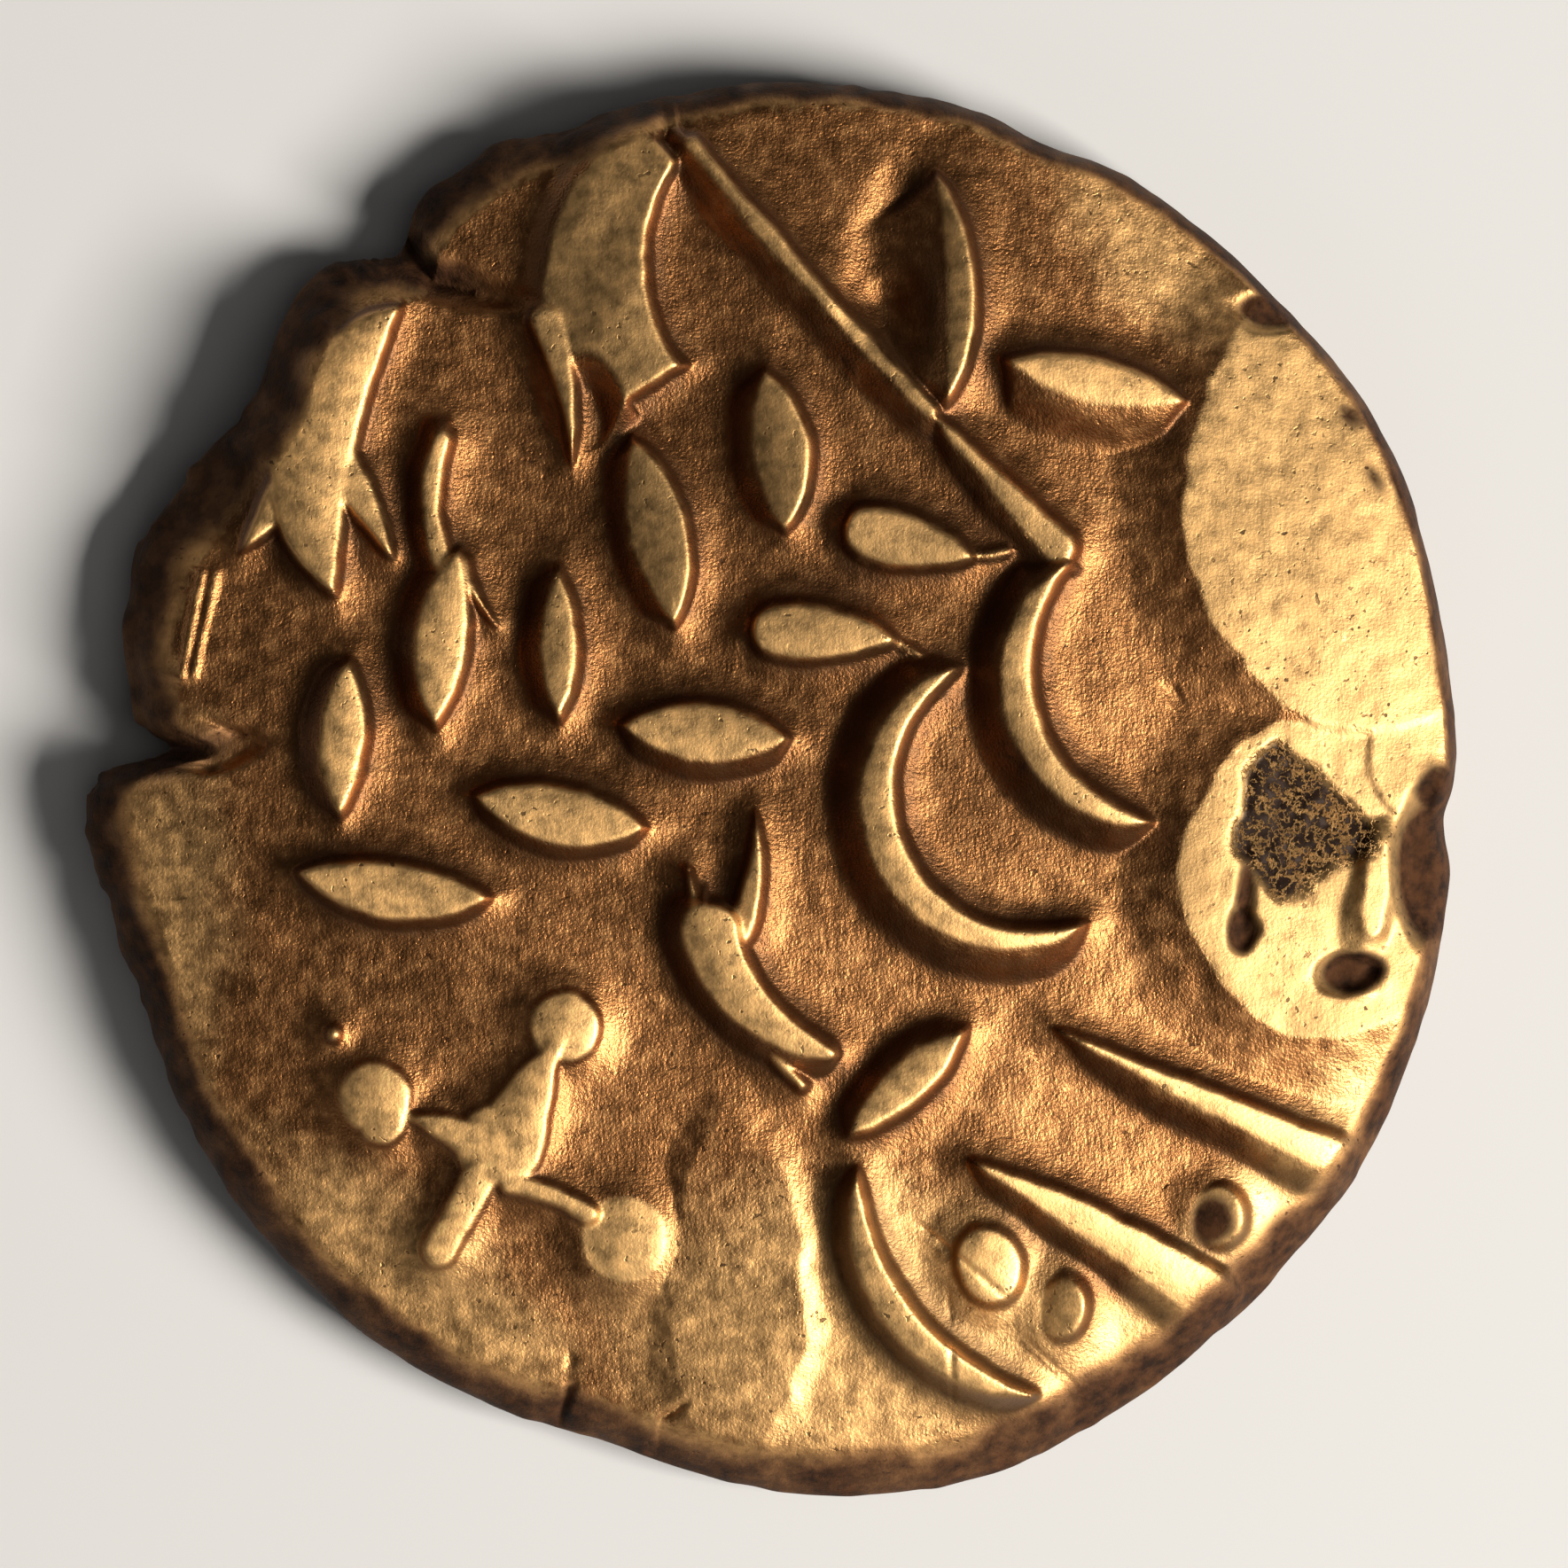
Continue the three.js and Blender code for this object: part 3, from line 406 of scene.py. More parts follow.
def around(values, degrees):
    """Smooth curve through values that are spaced evenly round the coin."""
    values = np.array(values)
    count = len(values)
    place = (degrees % 360) * count / 360
    index = np.floor(place).astype(int)
    t = place - index
    before, start, end, after = (values[(index + step) % count] for step in (-1, 0, 1, 2))
    bend = 2 * before - 5 * start + 4 * end - after + t * (3 * (start - end) + after - before)
    return start + 0.5 * t * (end - before + t * bend)


def rim_radius(degrees):
    radius = around(RIM_RADII, degrees)
    for direction, half_width, depth in RIM_NOTCHES:
        turn = (degrees - direction + 180) % 360 - 180
        radius = radius - depth * np.exp(-((turn / half_width) ** 2))
    return radius


def along_arc(x, y, start, end, bow):
    """Share along an arc from tip to tip, offset to its left, and its length."""
    chord = np.subtract(end, start)
    length = math.hypot(*chord)
    ahead = chord / length
    if bow == 0:
        share = ((x - start[0]) * ahead[0] + (y - start[1]) * ahead[1]) / length
        return share, (y - start[1]) * ahead[0] - (x - start[0]) * ahead[1], length
    side = math.copysign(1, bow)
    depth = abs(bow)
    radius = (length ** 2 / 4 + depth ** 2) / (2 * depth)
    reach = bow - side * radius
    centre_x = start[0] + chord[0] / 2 - ahead[1] * reach
    centre_y = start[1] + chord[1] / 2 + ahead[0] * reach
    sweep = 2 * math.atan2(length / 2, radius - depth)
    start_angle = math.atan2(start[1] - centre_y, start[0] - centre_x)
    turn = (start_angle - np.arctan2(y - centre_y, x - centre_x)) * side
    turn = turn - 2 * math.pi * np.round((turn - sweep / 2) / (2 * math.pi))
    left = side * (np.hypot(x - centre_x, y - centre_y) - radius)
    return turn / sweep, left, radius * sweep


SHAPES = {
    "leaf": lambda share: (4 * share * (1 - share)) ** 0.8,
    "drop": lambda share: (4 * share ** 0.6 * (1 - share ** 0.6)) ** 0.7,
    "crescent": lambda share: (4 * share * (1 - share)) ** 0.6,
    "spike": lambda share: share ** 0.6,
    "fan": lambda share: 0.45 + 0.55 * share ** 0.7,
    "horn": lambda share: (1 - share) ** 0.4,
    "thorn": lambda share: (1 - share) ** 0.7,
    "stem": lambda share: np.ones_like(share),
}


def inside_figure(x, y, figure, form):
    """How far points lie inside a figure, negative outside, the flank's reach and the fall of its top."""
    start, end, bow, width, lean = figure
    place, left, length = along_arc(x, y, start, end, bow)
    share = np.clip(place, 0, 1)
    half = 0.5 * width * SHAPES[form](share)
    if form == "fan":
        inside = np.minimum(half - np.abs(left), np.minimum(place, 1 - place) * length)
        inside = np.minimum(inside, -inside_oval(x, y, *FAN_CUT))
    else:
        inside = half - np.hypot(np.abs(place - share) * length, left)
    wider = np.where(left * lean > 0, abs(lean), 0) * smooth_step(0, TIP_HALF, half)
    slope = np.interp((start[0] + end[0]) / 2, FALL_PLACES, TOP_FALLS) * (end[1] - start[1]) / length
    across = np.clip(left, -half, half)
    fall = slope * across + TOP_ROUND * across ** 2 / np.maximum(half, TIP_HALF)
    return inside, FLANK_OUTSIDE + wider, fall


def inside_oval(x, y, middle, half, turn):
    angle = math.radians(turn)
    offset_x = x - middle[0]
    offset_y = y - middle[1]
    across = (offset_x * math.cos(angle) + offset_y * math.sin(angle)) / half[0]
    up = (offset_y * math.cos(angle) - offset_x * math.sin(angle)) / half[1]
    return (1 - np.hypot(across, up)) * min(half)


def blurred(values, size):
    """A map smoothed over the given size."""
    wave = np.fft.fftfreq(values.shape[0], MAP_STEP) * 2 * math.pi
    fade = np.exp(-0.5 * (wave * size) ** 2)
    return np.fft.ifft2(np.fft.fft2(values) * fade[:, None] * fade[None, :]).real


def near(low, high, margin):
    """Rows and columns of the map around a box."""
    first = [max(int((corner - margin + MAP_HALF) / MAP_STEP), 0) for corner in low]
    last = [int((corner + margin + MAP_HALF) / MAP_STEP) + 2 for corner in high]
    return slice(first[1], last[1]), slice(first[0], last[0])


def figure_maps(x, y, wobble):
    """Maps of the figures: height, swell of the ground, and how far points lie inside a figure."""
    body = np.zeros_like(x)
    swell = np.zeros_like(x)
    inside_any = np.full_like(x, -1.0)

    def stand(place, inside, reach, tall, width):
        """Raise a figure, and the ground that swells up to it, less for a thin one."""
        share = min(width / THIN, 1)
        risen = share * tall * smooth_step(-reach, FLANK_INSIDE, inside)
        body[place] = np.maximum(body[place], risen)
        ground = share * np.clip(1 + inside / SWELL_WIDTH, 0, 1) ** 2
        swell[place] = np.maximum(swell[place], ground)
        inside_any[place] = np.maximum(inside_any[place], inside)

    drawn = [("leaf", LEAF_HEIGHT, LEAVES), ("drop", LEAF_HEIGHT, DROPS)]
    drawn += [("fan", LEAF_HEIGHT, FANS), ("crescent", CRESCENT_HEIGHT, CRESCENTS)]
    drawn += [("horn", CRESCENT_HEIGHT, HORNS), ("thorn", THORN_HEIGHT, THORNS)]
    drawn += [("spike", BAR_HEIGHT, SPIKES), ("stem", BAR_HEIGHT, STEMS)]
    drawn += [("spike", FAINT_HEIGHT, FAINT_SPIKES), ("stem", FAINT_HEIGHT, FAINT_STEMS)]
    for form, tall, figures in drawn:
        for figure in figures:
            start, end, bow, width, _ = figure
            place = near(np.minimum(start, end), np.maximum(start, end), abs(bow) + width + SWELL_WIDTH)
            inside, reach, fall = inside_figure(x[place], y[place], figure, form)
            stand(place, inside + wobble[place], reach, tall - fall, width)
    for middle, half, turn, rise, tilt in PELLETS:
        place = near(middle, middle, max(half) + SWELL_WIDTH)
        inside = inside_oval(x[place], y[place], middle, half, turn) + wobble[place]
        tall = rise + tilt * (x[place] - middle[0]) / half[0]
        tall = tall - TOP_ROUND * min(half) * np.clip(1 - inside / min(half), 0, 1) ** 2
        stand(place, inside, FLANK_OUTSIDE, tall, 2 * min(half))
    return body, swell, inside_any


def patch_maps(x, y, border_wobble):
    """Maps of the raised patches: height, and how polished they are."""
    raised = np.zeros_like(x)
    polish = np.zeros_like(x)
    for middle, half, turn, tall, border in PATCHES:
        inside = inside_oval(x, y, middle, half, turn) + border_wobble
        raised = np.maximum(raised, tall * np.clip(1 + inside / border, 0, 1) ** LIP_POWER)
        share = min(tall / POLISHED_HEIGHT, 1)
        polish = np.maximum(polish, share * smooth_step(*POLISH_BORDER, inside))
    return raised, polish


def with_hollows(height, x, y, wobble, border_wobble):
    """The heights with the hollows and scratches cut into them."""
    for middle, half, turn, depth, border in HOLLOWS:
        inside = inside_oval(x, y, middle, half, turn) + border_wobble
        height = height - depth * smooth_step(-border / 2, border / 2, inside)
    for start, end, width, depth in SCRATCHES:
        place = near(np.minimum(start, end), np.maximum(start, end), 2 * width)
        inside, _, _ = inside_figure(x[place], y[place], (start, end, 0, width, 0), "crescent")
        height[place] = height[place] - depth * smooth_step(-width / 2, width / 2, inside + wobble[place])
    return height


def distance_share(x, y, middle, half):
    """Distance from the middle of an upright oval, 1 on its border."""
    return np.hypot((x - middle[0]) / half[0], (y - middle[1]) / half[1])


def dark_map(x, y, carved, inside_any, on_top, border_wobble):
    """How dark the ground is painted: patina where it is sunk, and painted shade where it is steep, around
    the figures and in the shaded places.
    """
    carved = blurred(carved, SOFTENING)
    sunk = blurred(carved, SUNK_REACH) - carved
    rise_y, rise_x = np.gradient(carved, MAP_STEP)
    # Painted shade on steep flanks
    steep_shade = smooth_step(*STEEP_SHADE_SLOPES, np.hypot(rise_x, rise_y))
    patina_and_shade = np.clip(SUNK_SHARE * smooth_step(0.0, SUNK_DEPTH, sunk) + STEEP_SHADE_SHARE * steep_shade, 0, 1)
    patina_and_shade = patina_and_shade * (1 - TOP_CLEARNESS * on_top)
    # Painted shade in a halo around the figures
    shade_halo = smooth_step(-SHADE_HALO_WIDTH, 0.0, inside_any) * (1 - on_top)
    patina_and_shade = np.maximum(blurred(patina_and_shade, SOFTENING), SHADE_HALO_SHARE * shade_halo)
    # Painted shade in the listed places, stronger inside the halo
    for middle, half, strength in SHADED_PLACES:
        gap = distance_share(x, y, middle, half) + border_wobble
        patina_and_shade = np.maximum(patina_and_shade, strength * np.exp(-(gap ** 4)) * (1 + shade_halo))
    return patina_and_shade


def relief_maps():
    """Maps of the face over a square: height, and how worn, darkened by patina and painted shade, stained,
    polished and corroded it is.
    """
    ticks = np.arange(-MAP_HALF, MAP_HALF + MAP_STEP, MAP_STEP)
    x, y = np.meshgrid(ticks, ticks)
    wobble = layered(x, y, OUTLINE_WOBBLE)
    border_wobble = layered(x, y, BORDER_WOBBLE)
    body, swell, inside_any = figure_maps(x, y, wobble)
    raised, polish = patch_maps(x, y, border_wobble)
    carved = np.maximum(body, SWELL_HEIGHT * blurred(swell, SWELL_SOFTENING))
    height = with_hollows(np.maximum(carved, raised), x, y, wobble, border_wobble)
    for middle, half, tall in WAVES:
        height = height + tall * np.exp(-(distance_share(x, y, middle, half) ** 2))
    on_top = smooth_step(0, TOP_BORDER, inside_any)
    height = height + layered(x, y, FIELD_UNEVENNESS) * (1 - TOP_SMOOTHNESS * on_top)
    inside = np.max([inside_oval(x, y, *oval) for oval in CRATERS], axis=0)
    crater = smooth_step(-CRATER_BORDER, CRATER_BORDER, inside + CRATER_WOBBLE * border_wobble)
    height = height + crater * (CRATER_LUMP * layered(x, y, CRATER_LUMPS) - CRATER_DEPTH)

    worn = np.maximum(on_top, smooth_step(*POLISH_WORN, polish))
    for middle, half, turn, border in WORN_PLACES:
        inside = inside_oval(x, y, middle, half, turn) + WORN_WOBBLE * border_wobble
        worn = np.maximum(worn, WORN_SHARE * smooth_step(-border / 2, border / 2, inside))
    stain = np.zeros_like(x)
    for middle, half, turn, border in STAINS:
        inside = inside_oval(x, y, middle, half, turn) + STAIN_WOBBLE * border_wobble
        stain = np.maximum(stain, smooth_step(-border / 2, border / 2, inside))
    patina_and_shade = dark_map(x, y, carved, inside_any, on_top, border_wobble)
    return blurred(height, SOFTENING), worn, patina_and_shade, stain, polish, crater


def read_map(values, x, y):
    """Values of a map between its points."""
    column = np.clip((x + MAP_HALF) / MAP_STEP, 0, values.shape[1] - 1.001)
    row = np.clip((y + MAP_HALF) / MAP_STEP, 0, values.shape[0] - 1.001)
    left = np.floor(column).astype(int)
    low = np.floor(row).astype(int)
    across = column - left
    up = row - low
    lower = values[low, left] * (1 - across) + values[low, left + 1] * across
    upper = values[low + 1, left] * (1 - across) + values[low + 1, left + 1] * across
    return lower * (1 - up) + upper * up


def disc_grid(cells):
    """A square grid bent into a unit disc: radius and angle in degrees of each point, row by row."""
    ticks = np.linspace(-1, 1, cells + 1)
    a, b = np.meshgrid(ticks, ticks)
    wide = np.abs(a) > np.abs(b)
    safe_a = np.where(a == 0, 1, a)
    safe_b = np.where(b == 0, 1, b)
    angle = np.where(wide, math.pi / 4 * b / safe_a, math.pi / 2 - math.pi / 4 * a / safe_b)
    radius = np.where(wide, a, b)
    x = radius * np.cos(angle)
    y = radius * np.sin(angle)
    return np.hypot(x, y).ravel(), np.degrees(np.arctan2(y, x)).ravel()


def border_indices(cells):
    """Indices of the grid's outer points, counterclockwise from the lower left corner."""
    side = cells + 1
    lower = np.arange(0, cells)
    right = np.arange(cells, side * side - 1, side)
    upper = np.arange(side * side - 1, side * cells, -1)
    left = np.arange(side * cells, 0, -side)
    return np.concatenate([lower, right, upper, left])


def grid_quads(cells, first):
    side = cells + 1
    corner = (np.arange(cells)[:, None] * side + np.arange(cells)[None, :]).ravel() + first
    return np.stack([corner, corner + 1, corner + side + 1, corner + side], axis=1)


def split_quads(quads, points):
    """Triangles from quads, cut along the diagonal with the smaller step in height."""
    a, b, c, d = quads.T
    z = points[:, 2]
    first = (np.abs(z[a] - z[c]) <= np.abs(z[b] - z[d]))[:, None]
    one = np.where(first, np.stack([a, b, c], axis=1), np.stack([a, b, d], axis=1))
    two = np.where(first, np.stack([a, c, d], axis=1), np.stack([b, c, d], axis=1))
    return np.concatenate([one, two])


def face_edge(degrees):
    """Where the face ends in each direction, as it is and before the edge was broken."""
    width = around(SLOPE_WIDTHS, degrees)
    return rim_radius(degrees) - width, around(RIM_RADII, degrees) - width


def face_points(heights):
    share, degrees = disc_grid(FACE_CELLS)
    edge, whole = face_edge(degrees)
    radius = share * edge
    x = radius * np.cos(np.radians(degrees))
    y = radius * np.sin(np.radians(degrees))
    z = CROWN_HEIGHT - DOME_FALL * (radius / whole) ** DOME_POWER + read_map(heights, x, y)
    return np.stack([x, y, z], axis=1), degrees


def edge_points(degrees, shoulder):
    """Rings from below the face's border down to the land of the underside."""
    rim = rim_radius(degrees)
    edge, _ = face_edge(degrees)
    land = rim - LAND_INSET
    start = around(SLOPE_STARTS, degrees)
    angle = np.radians(degrees)
    rings = []
    for ring in range(1, EDGE_RINGS + 1):
        roll = math.pi * ring / EDGE_RINGS
        if roll < math.pi / 2:
            out = (rim - edge) * math.sin(roll)
            radius = edge + out
            z = EDGE_MIDDLE + (shoulder - start * out - EDGE_MIDDLE) * math.cos(roll)
        else:
            radius = land + (rim - land) * math.sin(roll)
            z = np.full_like(rim, EDGE_MIDDLE * (1 + math.cos(roll)))
        uneven = layered(rim * angle, z, EDGE_UNEVENNESS) * around(EDGE_ROUGHNESS, degrees)
        radius = radius + uneven * math.sin(roll)
        rings.append(np.stack([radius * np.cos(angle), radius * np.sin(angle), z], axis=1))
    return np.concatenate(rings)


def under_points():
    share, degrees = disc_grid(UNDER_CELLS)
    land = rim_radius(degrees) - LAND_INSET
    radius = share * land
    x = radius * np.cos(np.radians(degrees))
    y = radius * np.sin(np.radians(degrees))
    within = np.minimum(share / LAND_SHARE, 1)
    dish = DISH_DEPTH * (1 - within ** 2) ** DISH_POWER
    raised = UNDER_HEIGHT * smooth_step(0, UNDER_FLANK, UNDER_BOSS_RADIUS - radius)
    for index in range(UNDER_RING_COUNT):
        angle = 2 * math.pi * index / UNDER_RING_COUNT
        gap = np.hypot(x - UNDER_RING_RADIUS * math.cos(angle), y - UNDER_RING_RADIUS * math.sin(angle))
        raised = np.maximum(raised, UNDER_HEIGHT * smooth_step(0, UNDER_FLANK, UNDER_PELLET_RADIUS - gap))
    return np.stack([x, y, dish - np.minimum(raised, dish)], axis=1)


def coin_mesh(heights):
    """Points and triangles of the coin as one closed mesh: face, edge and underside."""
    face, face_degrees = face_points(heights)
    border = border_indices(FACE_CELLS)
    edge = edge_points(face_degrees[border], face[border, 2])
    points = np.concatenate([face, edge, under_points()])
    count = len(border)
    quads = [grid_quads(FACE_CELLS, 0)]
    before = border
    for ring in range(EDGE_RINGS):
        after = len(face) + ring * count + np.arange(count)
        quads.append(np.stack([before, after, np.roll(after, -1), np.roll(before, -1)], axis=1))
        before = after
    first_under = len(face) + len(edge)
    quads.append(grid_quads(UNDER_CELLS, first_under)[:, ::-1])
    triangles = [split_quads(np.concatenate(quads), points)]
    ratio = FACE_CELLS // UNDER_CELLS
    inner = first_under + border_indices(UNDER_CELLS)
    for step in range(ratio):
        near_end = before[step::ratio]
        far_end = np.roll(before, -1)[step::ratio]
        triangles.append(np.stack([far_end, near_end, inner], axis=1))
    triangles.append(np.stack([np.roll(before, -ratio)[::ratio], inner, np.roll(inner, -1)], axis=1))
    return points, np.concatenate(triangles)


def decimated(points, triangles):
    """The coin as an object, thinned out where it is smooth."""
    mesh = bpy.data.meshes.new("coin_relief")
    mesh.vertices.add(len(points))
    mesh.vertices.foreach_set("co", (points * MM).ravel())
    mesh.loops.add(triangles.size)
    mesh.loops.foreach_set("vertex_index", triangles.ravel())
    mesh.polygons.add(len(triangles))
    mesh.polygons.foreach_set("loop_start", np.arange(0, triangles.size, 3))
    mesh.update(calc_edges=True)
    coin = bpy.data.objects.new("coin_relief", mesh)
    bpy.context.scene.collection.objects.link(coin)
    bpy.context.view_layer.objects.active = coin
    decimate = coin.modifiers.new("decimate", "DECIMATE")
    decimate.ratio = TRIANGLE_LIMIT / len(triangles)
    bpy.ops.object.modifier_apply(modifier=decimate.name)
    mesh.shade_smooth()
    return coin


def add_wear_and_shade(mesh, maps):
    """Store on each point how worn, darkened by patina and painted shade, stained or painted with shade on
    the edge, polished and corroded it is.
    """
    points = np.empty(len(mesh.vertices) * 3)
    mesh.vertices.foreach_get("co", points)
    x, y, z = points.reshape(-1, 3).T / MM
    degrees = np.degrees(np.arctan2(y, x))
    edge, _ = face_edge(degrees)
    out = np.hypot(x, y) - edge
    above = smooth_step(*WEAR_END, z)
    on_face = above * smooth_step(*SHOULDER_FADE, out)
    worn, patina_and_shade, stain, polish, corroded = (read_map(values, x, y) for values in maps)
    patch = 0.5 + layered(x, y, EDGE_PATCHES)
    slope = out / around(SLOPE_WIDTHS, degrees) + layered(x, y, EDGE_FRINGE)
    # Edge stain: partly patina on the broken edge, partly painted shade and a painted dark reflection on
    # the slope
    edge_stain_and_shade = smooth_step(*EDGE_STAIN_AND_SHADE_PLACE, slope) * (EDGE_STAIN_AND_SHADE_LEAST + EDGE_STAIN_AND_SHADE_SPREAD * patch)
    worn = np.where(out > 0, EDGE_WORN * (1 - edge_stain_and_shade), worn * on_face)
    stain = np.clip(np.maximum(stain * above, edge_stain_and_shade), 0, 1)
    values = np.stack([worn, patina_and_shade * on_face, stain, polish * on_face], axis=1)
    wear_and_shade = mesh.attributes.new("wear_and_shade", "FLOAT_COLOR", "POINT")
    wear_and_shade.data.foreach_set("color", values.astype(np.float32).ravel())
    rot = mesh.attributes.new("corroded", "FLOAT", "POINT")
    rot.data.foreach_set("value", (corroded * above).astype(np.float32))


def add_coin():
    heights, *wear_and_shade = relief_maps()
    coin = decimated(*coin_mesh(heights))
    add_wear_and_shade(coin.data, wear_and_shade)
    turns = np.arange(0, 360, OUTLINE_STEP)
    rim = rim_radius(turns)
    rim_x = rim * np.cos(np.radians(turns))
    rim_y = rim * np.sin(np.radians(turns))
    middle = np.array([(rim_x.min() + rim_x.max()) / 2, (rim_y.min() + rim_y.max()) / 2, 0])
    points = np.empty(len(coin.data.vertices) * 3)
    coin.data.vertices.foreach_get("co", points)
    coin.data.vertices.foreach_set("co", (points.reshape(-1, 3) - middle * MM).ravel())
    coin.data.update()
    return coin, middle


class Nodes:
    """Short ways to add and join shader nodes in one material."""

    def __init__(self, material):
        material.use_nodes = True
        self.tree = material.node_tree
        self.shader = self.tree.nodes["Principled BSDF"]

    def put(self, value, socket):
        if isinstance(value, bpy.types.NodeSocket):
            self.tree.links.new(value, socket)
        else:
            socket.default_value = value

    def add(self, kind, output, inputs, **settings):
        node = self.tree.nodes.new(kind)
        for name, value in settings.items():
            setattr(node, name, value)
        for name, value in inputs.items():
            self.put(value, node.inputs[name])
        return node.outputs[output]

    def math(self, operation, *values):
        return self.add("ShaderNodeMath", 0, dict(enumerate(values)), operation=operation)

    def between(self, value, low, high, to_low=0.0, to_high=1.0):
        inputs = {"Value": value, "From Min": low, "From Max": high, "To Min": to_low, "To Max": to_high}
        return self.add("ShaderNodeMapRange", 0, inputs)

    def mix(self, share, first, second):
        return self.add("ShaderNodeMix", 2, {0: share, 6: first, 7: second}, data_type="RGBA")

    def scaled(self, colour, factor):
        grey = self.add("ShaderNodeCombineColor", 0, {0: factor, 1: factor, 2: factor})
        inputs = {0: 1.0, 6: colour, 7: grey}
        return self.add("ShaderNodeMix", 2, inputs, data_type="RGBA", blend_type="MULTIPLY")

    def noise(self, place, size, detail=2.0, roughness=0.5):
        inputs = {"Vector": place, "Scale": 1 / (size * MM), "Detail": detail, "Roughness": roughness}
        return self.add("ShaderNodeTexNoise", 0, inputs)

    def stretched(self, place, turn, along):
        inputs = {"Vector": place, "Rotation": (0, 0, math.radians(turn)), "Scale": (1, 1 / along, 1)}
        return self.add("ShaderNodeMapping", 0, inputs)


def gold_material():
    """Gold, pale where worn and brown where sunk or painted with shade, with crust on stains, painted
    shade and a painted dark reflection on the edge slope, and veins where corroded.
    """
    material = bpy.data.materials.new("worn_gold")
    nodes = Nodes(material)
    shader = nodes.shader
    place = nodes.add("ShaderNodeTexCoord", "Object", {})
    wear_and_shade = nodes.add("ShaderNodeAttribute", "Color", {}, attribute_name="wear_and_shade")
    polish = nodes.add("ShaderNodeAttribute", "Alpha", {}, attribute_name="wear_and_shade")
    corroded = nodes.add("ShaderNodeAttribute", "Fac", {}, attribute_name="corroded")
    worn = nodes.add("ShaderNodeSeparateColor", 0, {"Color": wear_and_shade})
    patina_and_shade = nodes.add("ShaderNodeSeparateColor", 1, {"Color": wear_and_shade})
    stain = nodes.add("ShaderNodeSeparateColor", 2, {"Color": wear_and_shade})

    broad = nodes.noise(place, BROAD_SIZE, 3.0)
    fine = nodes.noise(place, FINE_SIZE, 3.0, 0.6)
    grain = nodes.noise(place, GRAIN_SIZE, 2.0, 0.6)
    streaks = nodes.noise(nodes.stretched(place, 0, STREAK_STRETCH), STREAK_SIZE, 2.0, 0.6)

    groups = nodes.between(nodes.noise(place, PIT_GROUP_SIZE), 0.42, 0.6)
    pits = nodes.between(nodes.noise(place, PIT_SIZE, 1.0), 0.66, 0.72)
    pits = nodes.math("MULTIPLY", pits, groups)
    paleness = nodes.math("ADD", worn, nodes.between(fine, 0.3, 0.7, -0.14, 0.14))
    gold = nodes.mix(paleness, FIELD_GOLD, WORN_GOLD)
    tone = nodes.between(nodes.math("ADD", broad, fine), 0.7, 1.3, 0.62, 1.14)
    gold = nodes.scaled(gold, tone)
    gold = nodes.scaled(gold, nodes.between(polish, 0.0, 1.0, 1.0, POLISHED_TONE))
    patchy = nodes.between(fine, 0.3, 0.7, 0.65, 0.95)
    # Patina in recesses and pits, with painted shade on steep flanks, around figures and in shaded places
    sunk = nodes.math("MULTIPLY", nodes.math("MAXIMUM", patina_and_shade, pits), patchy)
    gold = nodes.mix(sunk, gold, PATINA_AND_SHADE_BROWN)
    # Crust in stained hollows, and painted shade and a painted dark reflection on the edge slope
    crust_and_edge_shade = nodes.mix(nodes.between(fine, 0.35, 0.65), DARK_CRUST_AND_EDGE_SHADE, BROWN_CRUST_AND_EDGE_SHADE)
    gold = nodes.mix(stain, gold, crust_and_edge_shade)
    bend = nodes.math("SUBTRACT", nodes.noise(place, VEIN_SIZE, 4.0, 0.65), 0.5)
    vein_width = nodes.between(nodes.noise(place, VEIN_PATCH_SIZE), 0.35, 0.65, 0.015, 0.09)
    veins = nodes.between(nodes.math("ABSOLUTE", bend), 0.0, vein_width, 1.0, 0.0)
    gold = nodes.mix(corroded, gold, nodes.mix(veins, CORROSION, VEIN_GOLD))
    nodes.put(gold, shader.inputs["Base Color"])

    between_veins = nodes.math("MULTIPLY", corroded, nodes.math("SUBTRACT", 1.0, veins))
    dull = nodes.math("MAXIMUM", stain, between_veins)
    nodes.put(nodes.between(dull, 0.0, 1.0, 0.5, 0.1), shader.inputs["Specular IOR Level"])
    dirt_and_shade = nodes.math("MAXIMUM", dull, nodes.math("MULTIPLY", sunk, 0.5))
    nodes.put(nodes.between(dirt_and_shade, 0.2, 1.0, 1.0, 0.35), shader.inputs["Metallic"])
    rough = nodes.between(worn, 0.0, 1.0, FIELD_ROUGHNESS, WORN_ROUGHNESS)
    rough = nodes.math("ADD", rough, nodes.between(fine, 0.3, 0.7, -0.07, 0.07))
    rough = nodes.math("ADD", rough, nodes.math("MULTIPLY", stain, STAIN_ROUGHNESS))
    nodes.put(rough, shader.inputs["Roughness"])

    coarse = nodes.between(worn, 0.0, 1.0, FIELD_GRAIN, TOP_GRAIN)
    lump = nodes.math("MULTIPLY", grain, coarse)
    streak_height = nodes.math("MULTIPLY", coarse, STREAK_SHARE)
    lump = nodes.math("ADD", lump, nodes.math("MULTIPLY", streaks, streak_height))
    lump = nodes.math("SUBTRACT", lump, nodes.math("MULTIPLY", pits, PIT_DEPTH))
    vein_lump = nodes.math("MULTIPLY", nodes.math("MULTIPLY", veins, corroded), VEIN_HEIGHT)
    lump = nodes.math("ADD", lump, vein_lump)
    bump = nodes.add("ShaderNodeBump", 0, {"Strength": 1.0, "Distance": MM, "Height": lump})
    nodes.put(bump, shader.inputs["Normal"])
    return material


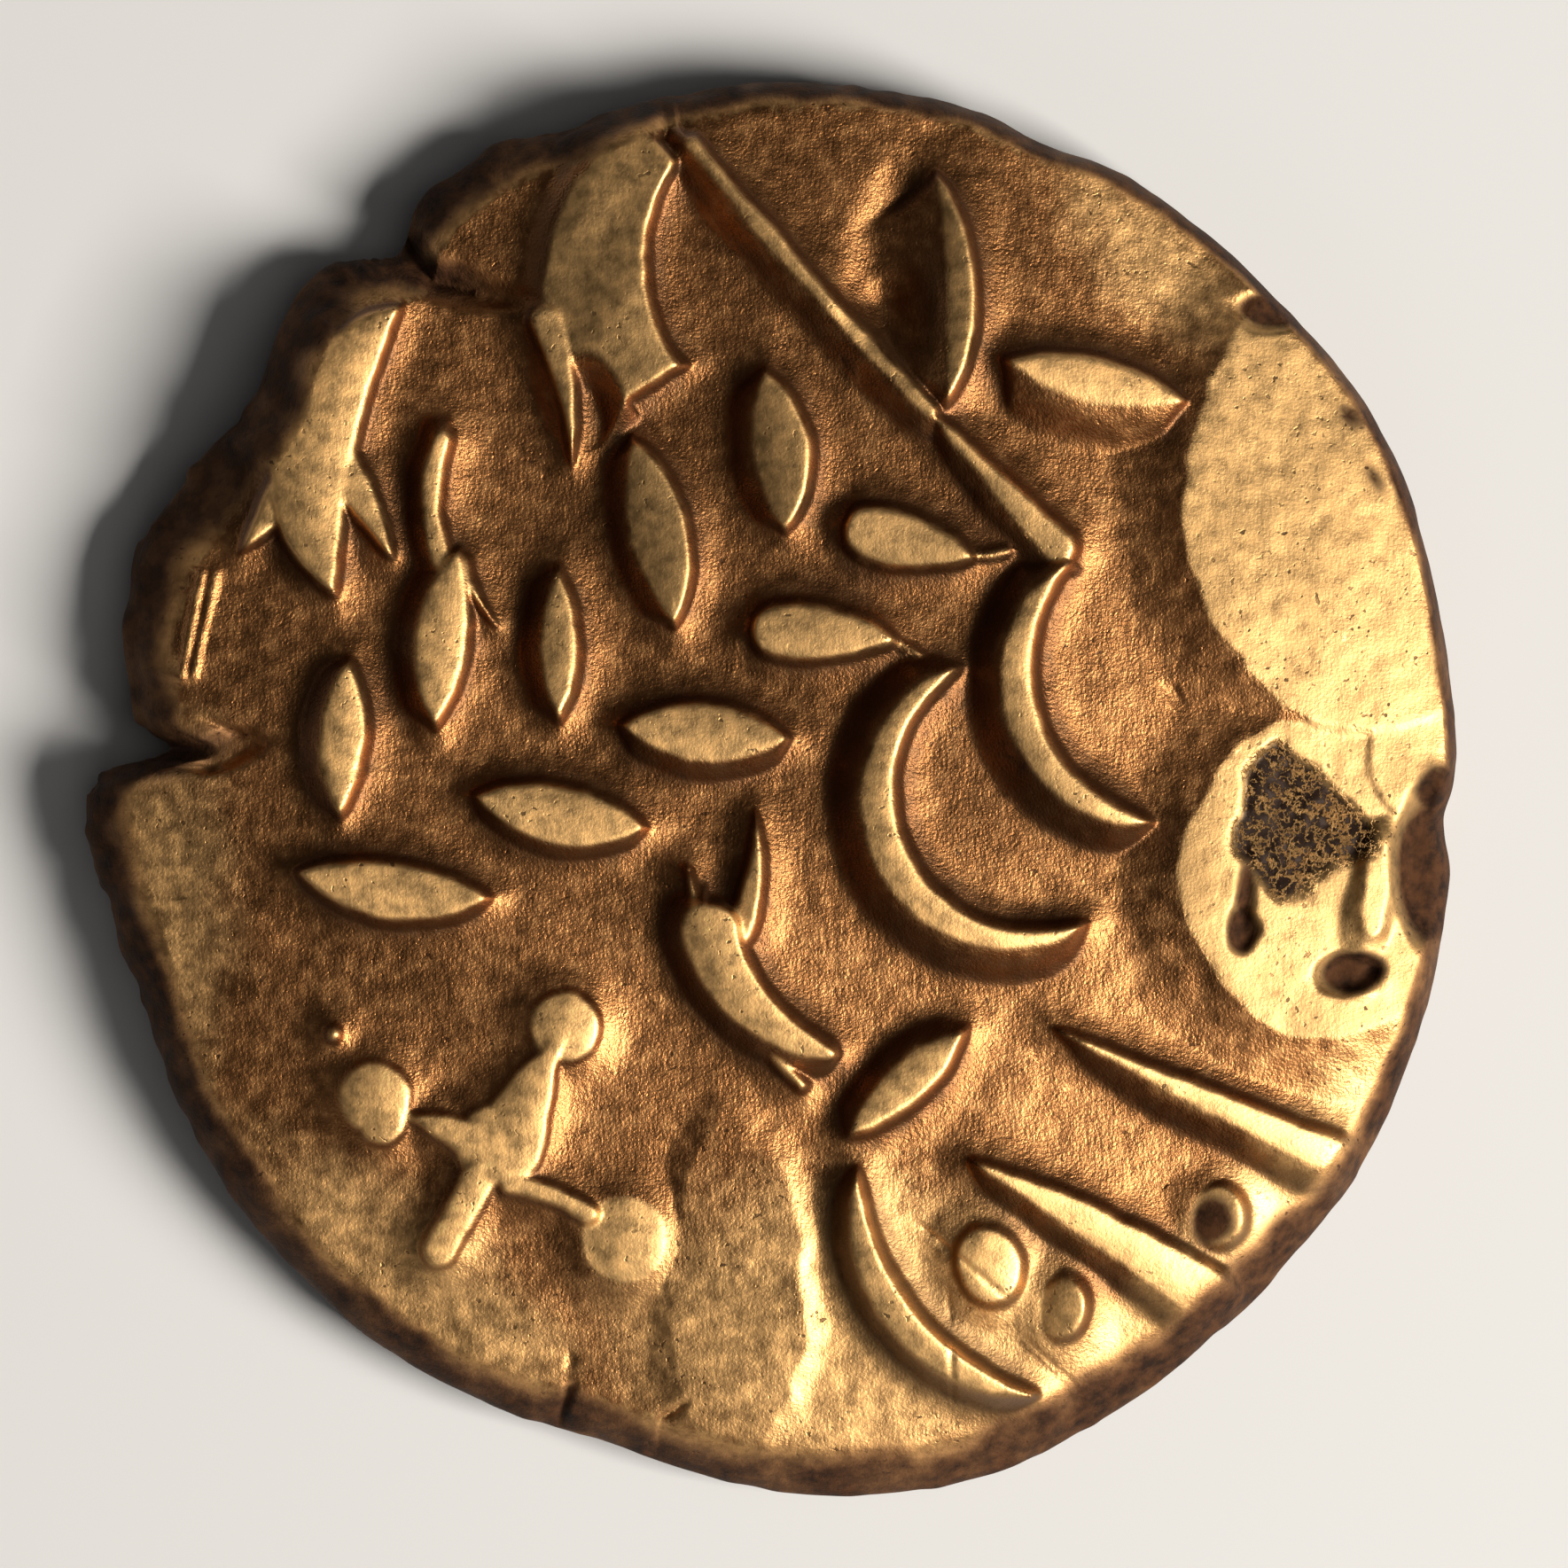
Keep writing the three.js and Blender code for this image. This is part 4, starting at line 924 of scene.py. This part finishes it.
def add_floor():
    corners = [(-1, -1), (1, -1), (1, 1), (-1, 1)]
    points = [(FLOOR_HALF * x, FLOOR_HALF * y, 0) for x, y in corners]
    mesh = bpy.data.meshes.new("floor")
    mesh.from_pydata(points, [], [(0, 1, 2, 3)])
    floor = bpy.data.objects.new("floor", mesh)
    bpy.context.scene.collection.objects.link(floor)
    material = bpy.data.materials.new("pale_floor")
    material.use_nodes = True
    shader = material.node_tree.nodes["Principled BSDF"]
    shader.inputs["Base Color"].default_value = FLOOR_GREY
    shader.inputs["Roughness"].default_value = FLOOR_ROUGHNESS
    mesh.materials.append(material)


def add_light(name, power, size, azimuth, elevation, distance, colour):
    data = bpy.data.lights.new(name, "AREA")
    data.energy = power
    data.size = size
    data.color = colour
    light = bpy.data.objects.new(name, data)
    bpy.context.scene.collection.objects.link(light)
    turn = math.radians(azimuth)
    rise = math.radians(elevation)
    light.location = (
        distance * math.cos(rise) * math.cos(turn),
        distance * math.cos(rise) * math.sin(turn),
        distance * math.sin(rise),
    )
    light.rotation_euler = (math.pi / 2 - rise, 0, turn + math.pi / 2)


def add_camera(middle):
    camera = bpy.data.objects.new("camera", bpy.data.cameras.new("camera"))
    bpy.context.scene.collection.objects.link(camera)
    across = (PIXELS / 2 - MIDDLE_PIXEL[0]) / PIXELS_PER_MM - middle[0]
    up = (MIDDLE_PIXEL[1] - PIXELS / 2) / PIXELS_PER_MM - middle[1]
    camera.location = (across * MM, up * MM, CAMERA_HEIGHT)
    camera.data.sensor_width = SENSOR
    width = PIXELS / PIXELS_PER_MM * MM
    camera.data.lens = SENSOR * (CAMERA_HEIGHT - EDGE_MIDDLE * MM) / width
    camera.data.clip_start = CAMERA_CLIP
    bpy.context.scene.camera = camera


coin, middle = add_coin()
coin.data.materials.append(gold_material())
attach(coin, "root")
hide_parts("coin")
add_floor()
add_camera(middle)
for light in LIGHTS:
    add_light(*light)
world = bpy.data.worlds.new("world")
bpy.context.scene.world = world
world.use_nodes = True
world.node_tree.nodes["Background"].inputs["Color"].default_value = AMBIENT
bpy.context.scene.view_settings.view_transform = "Standard"
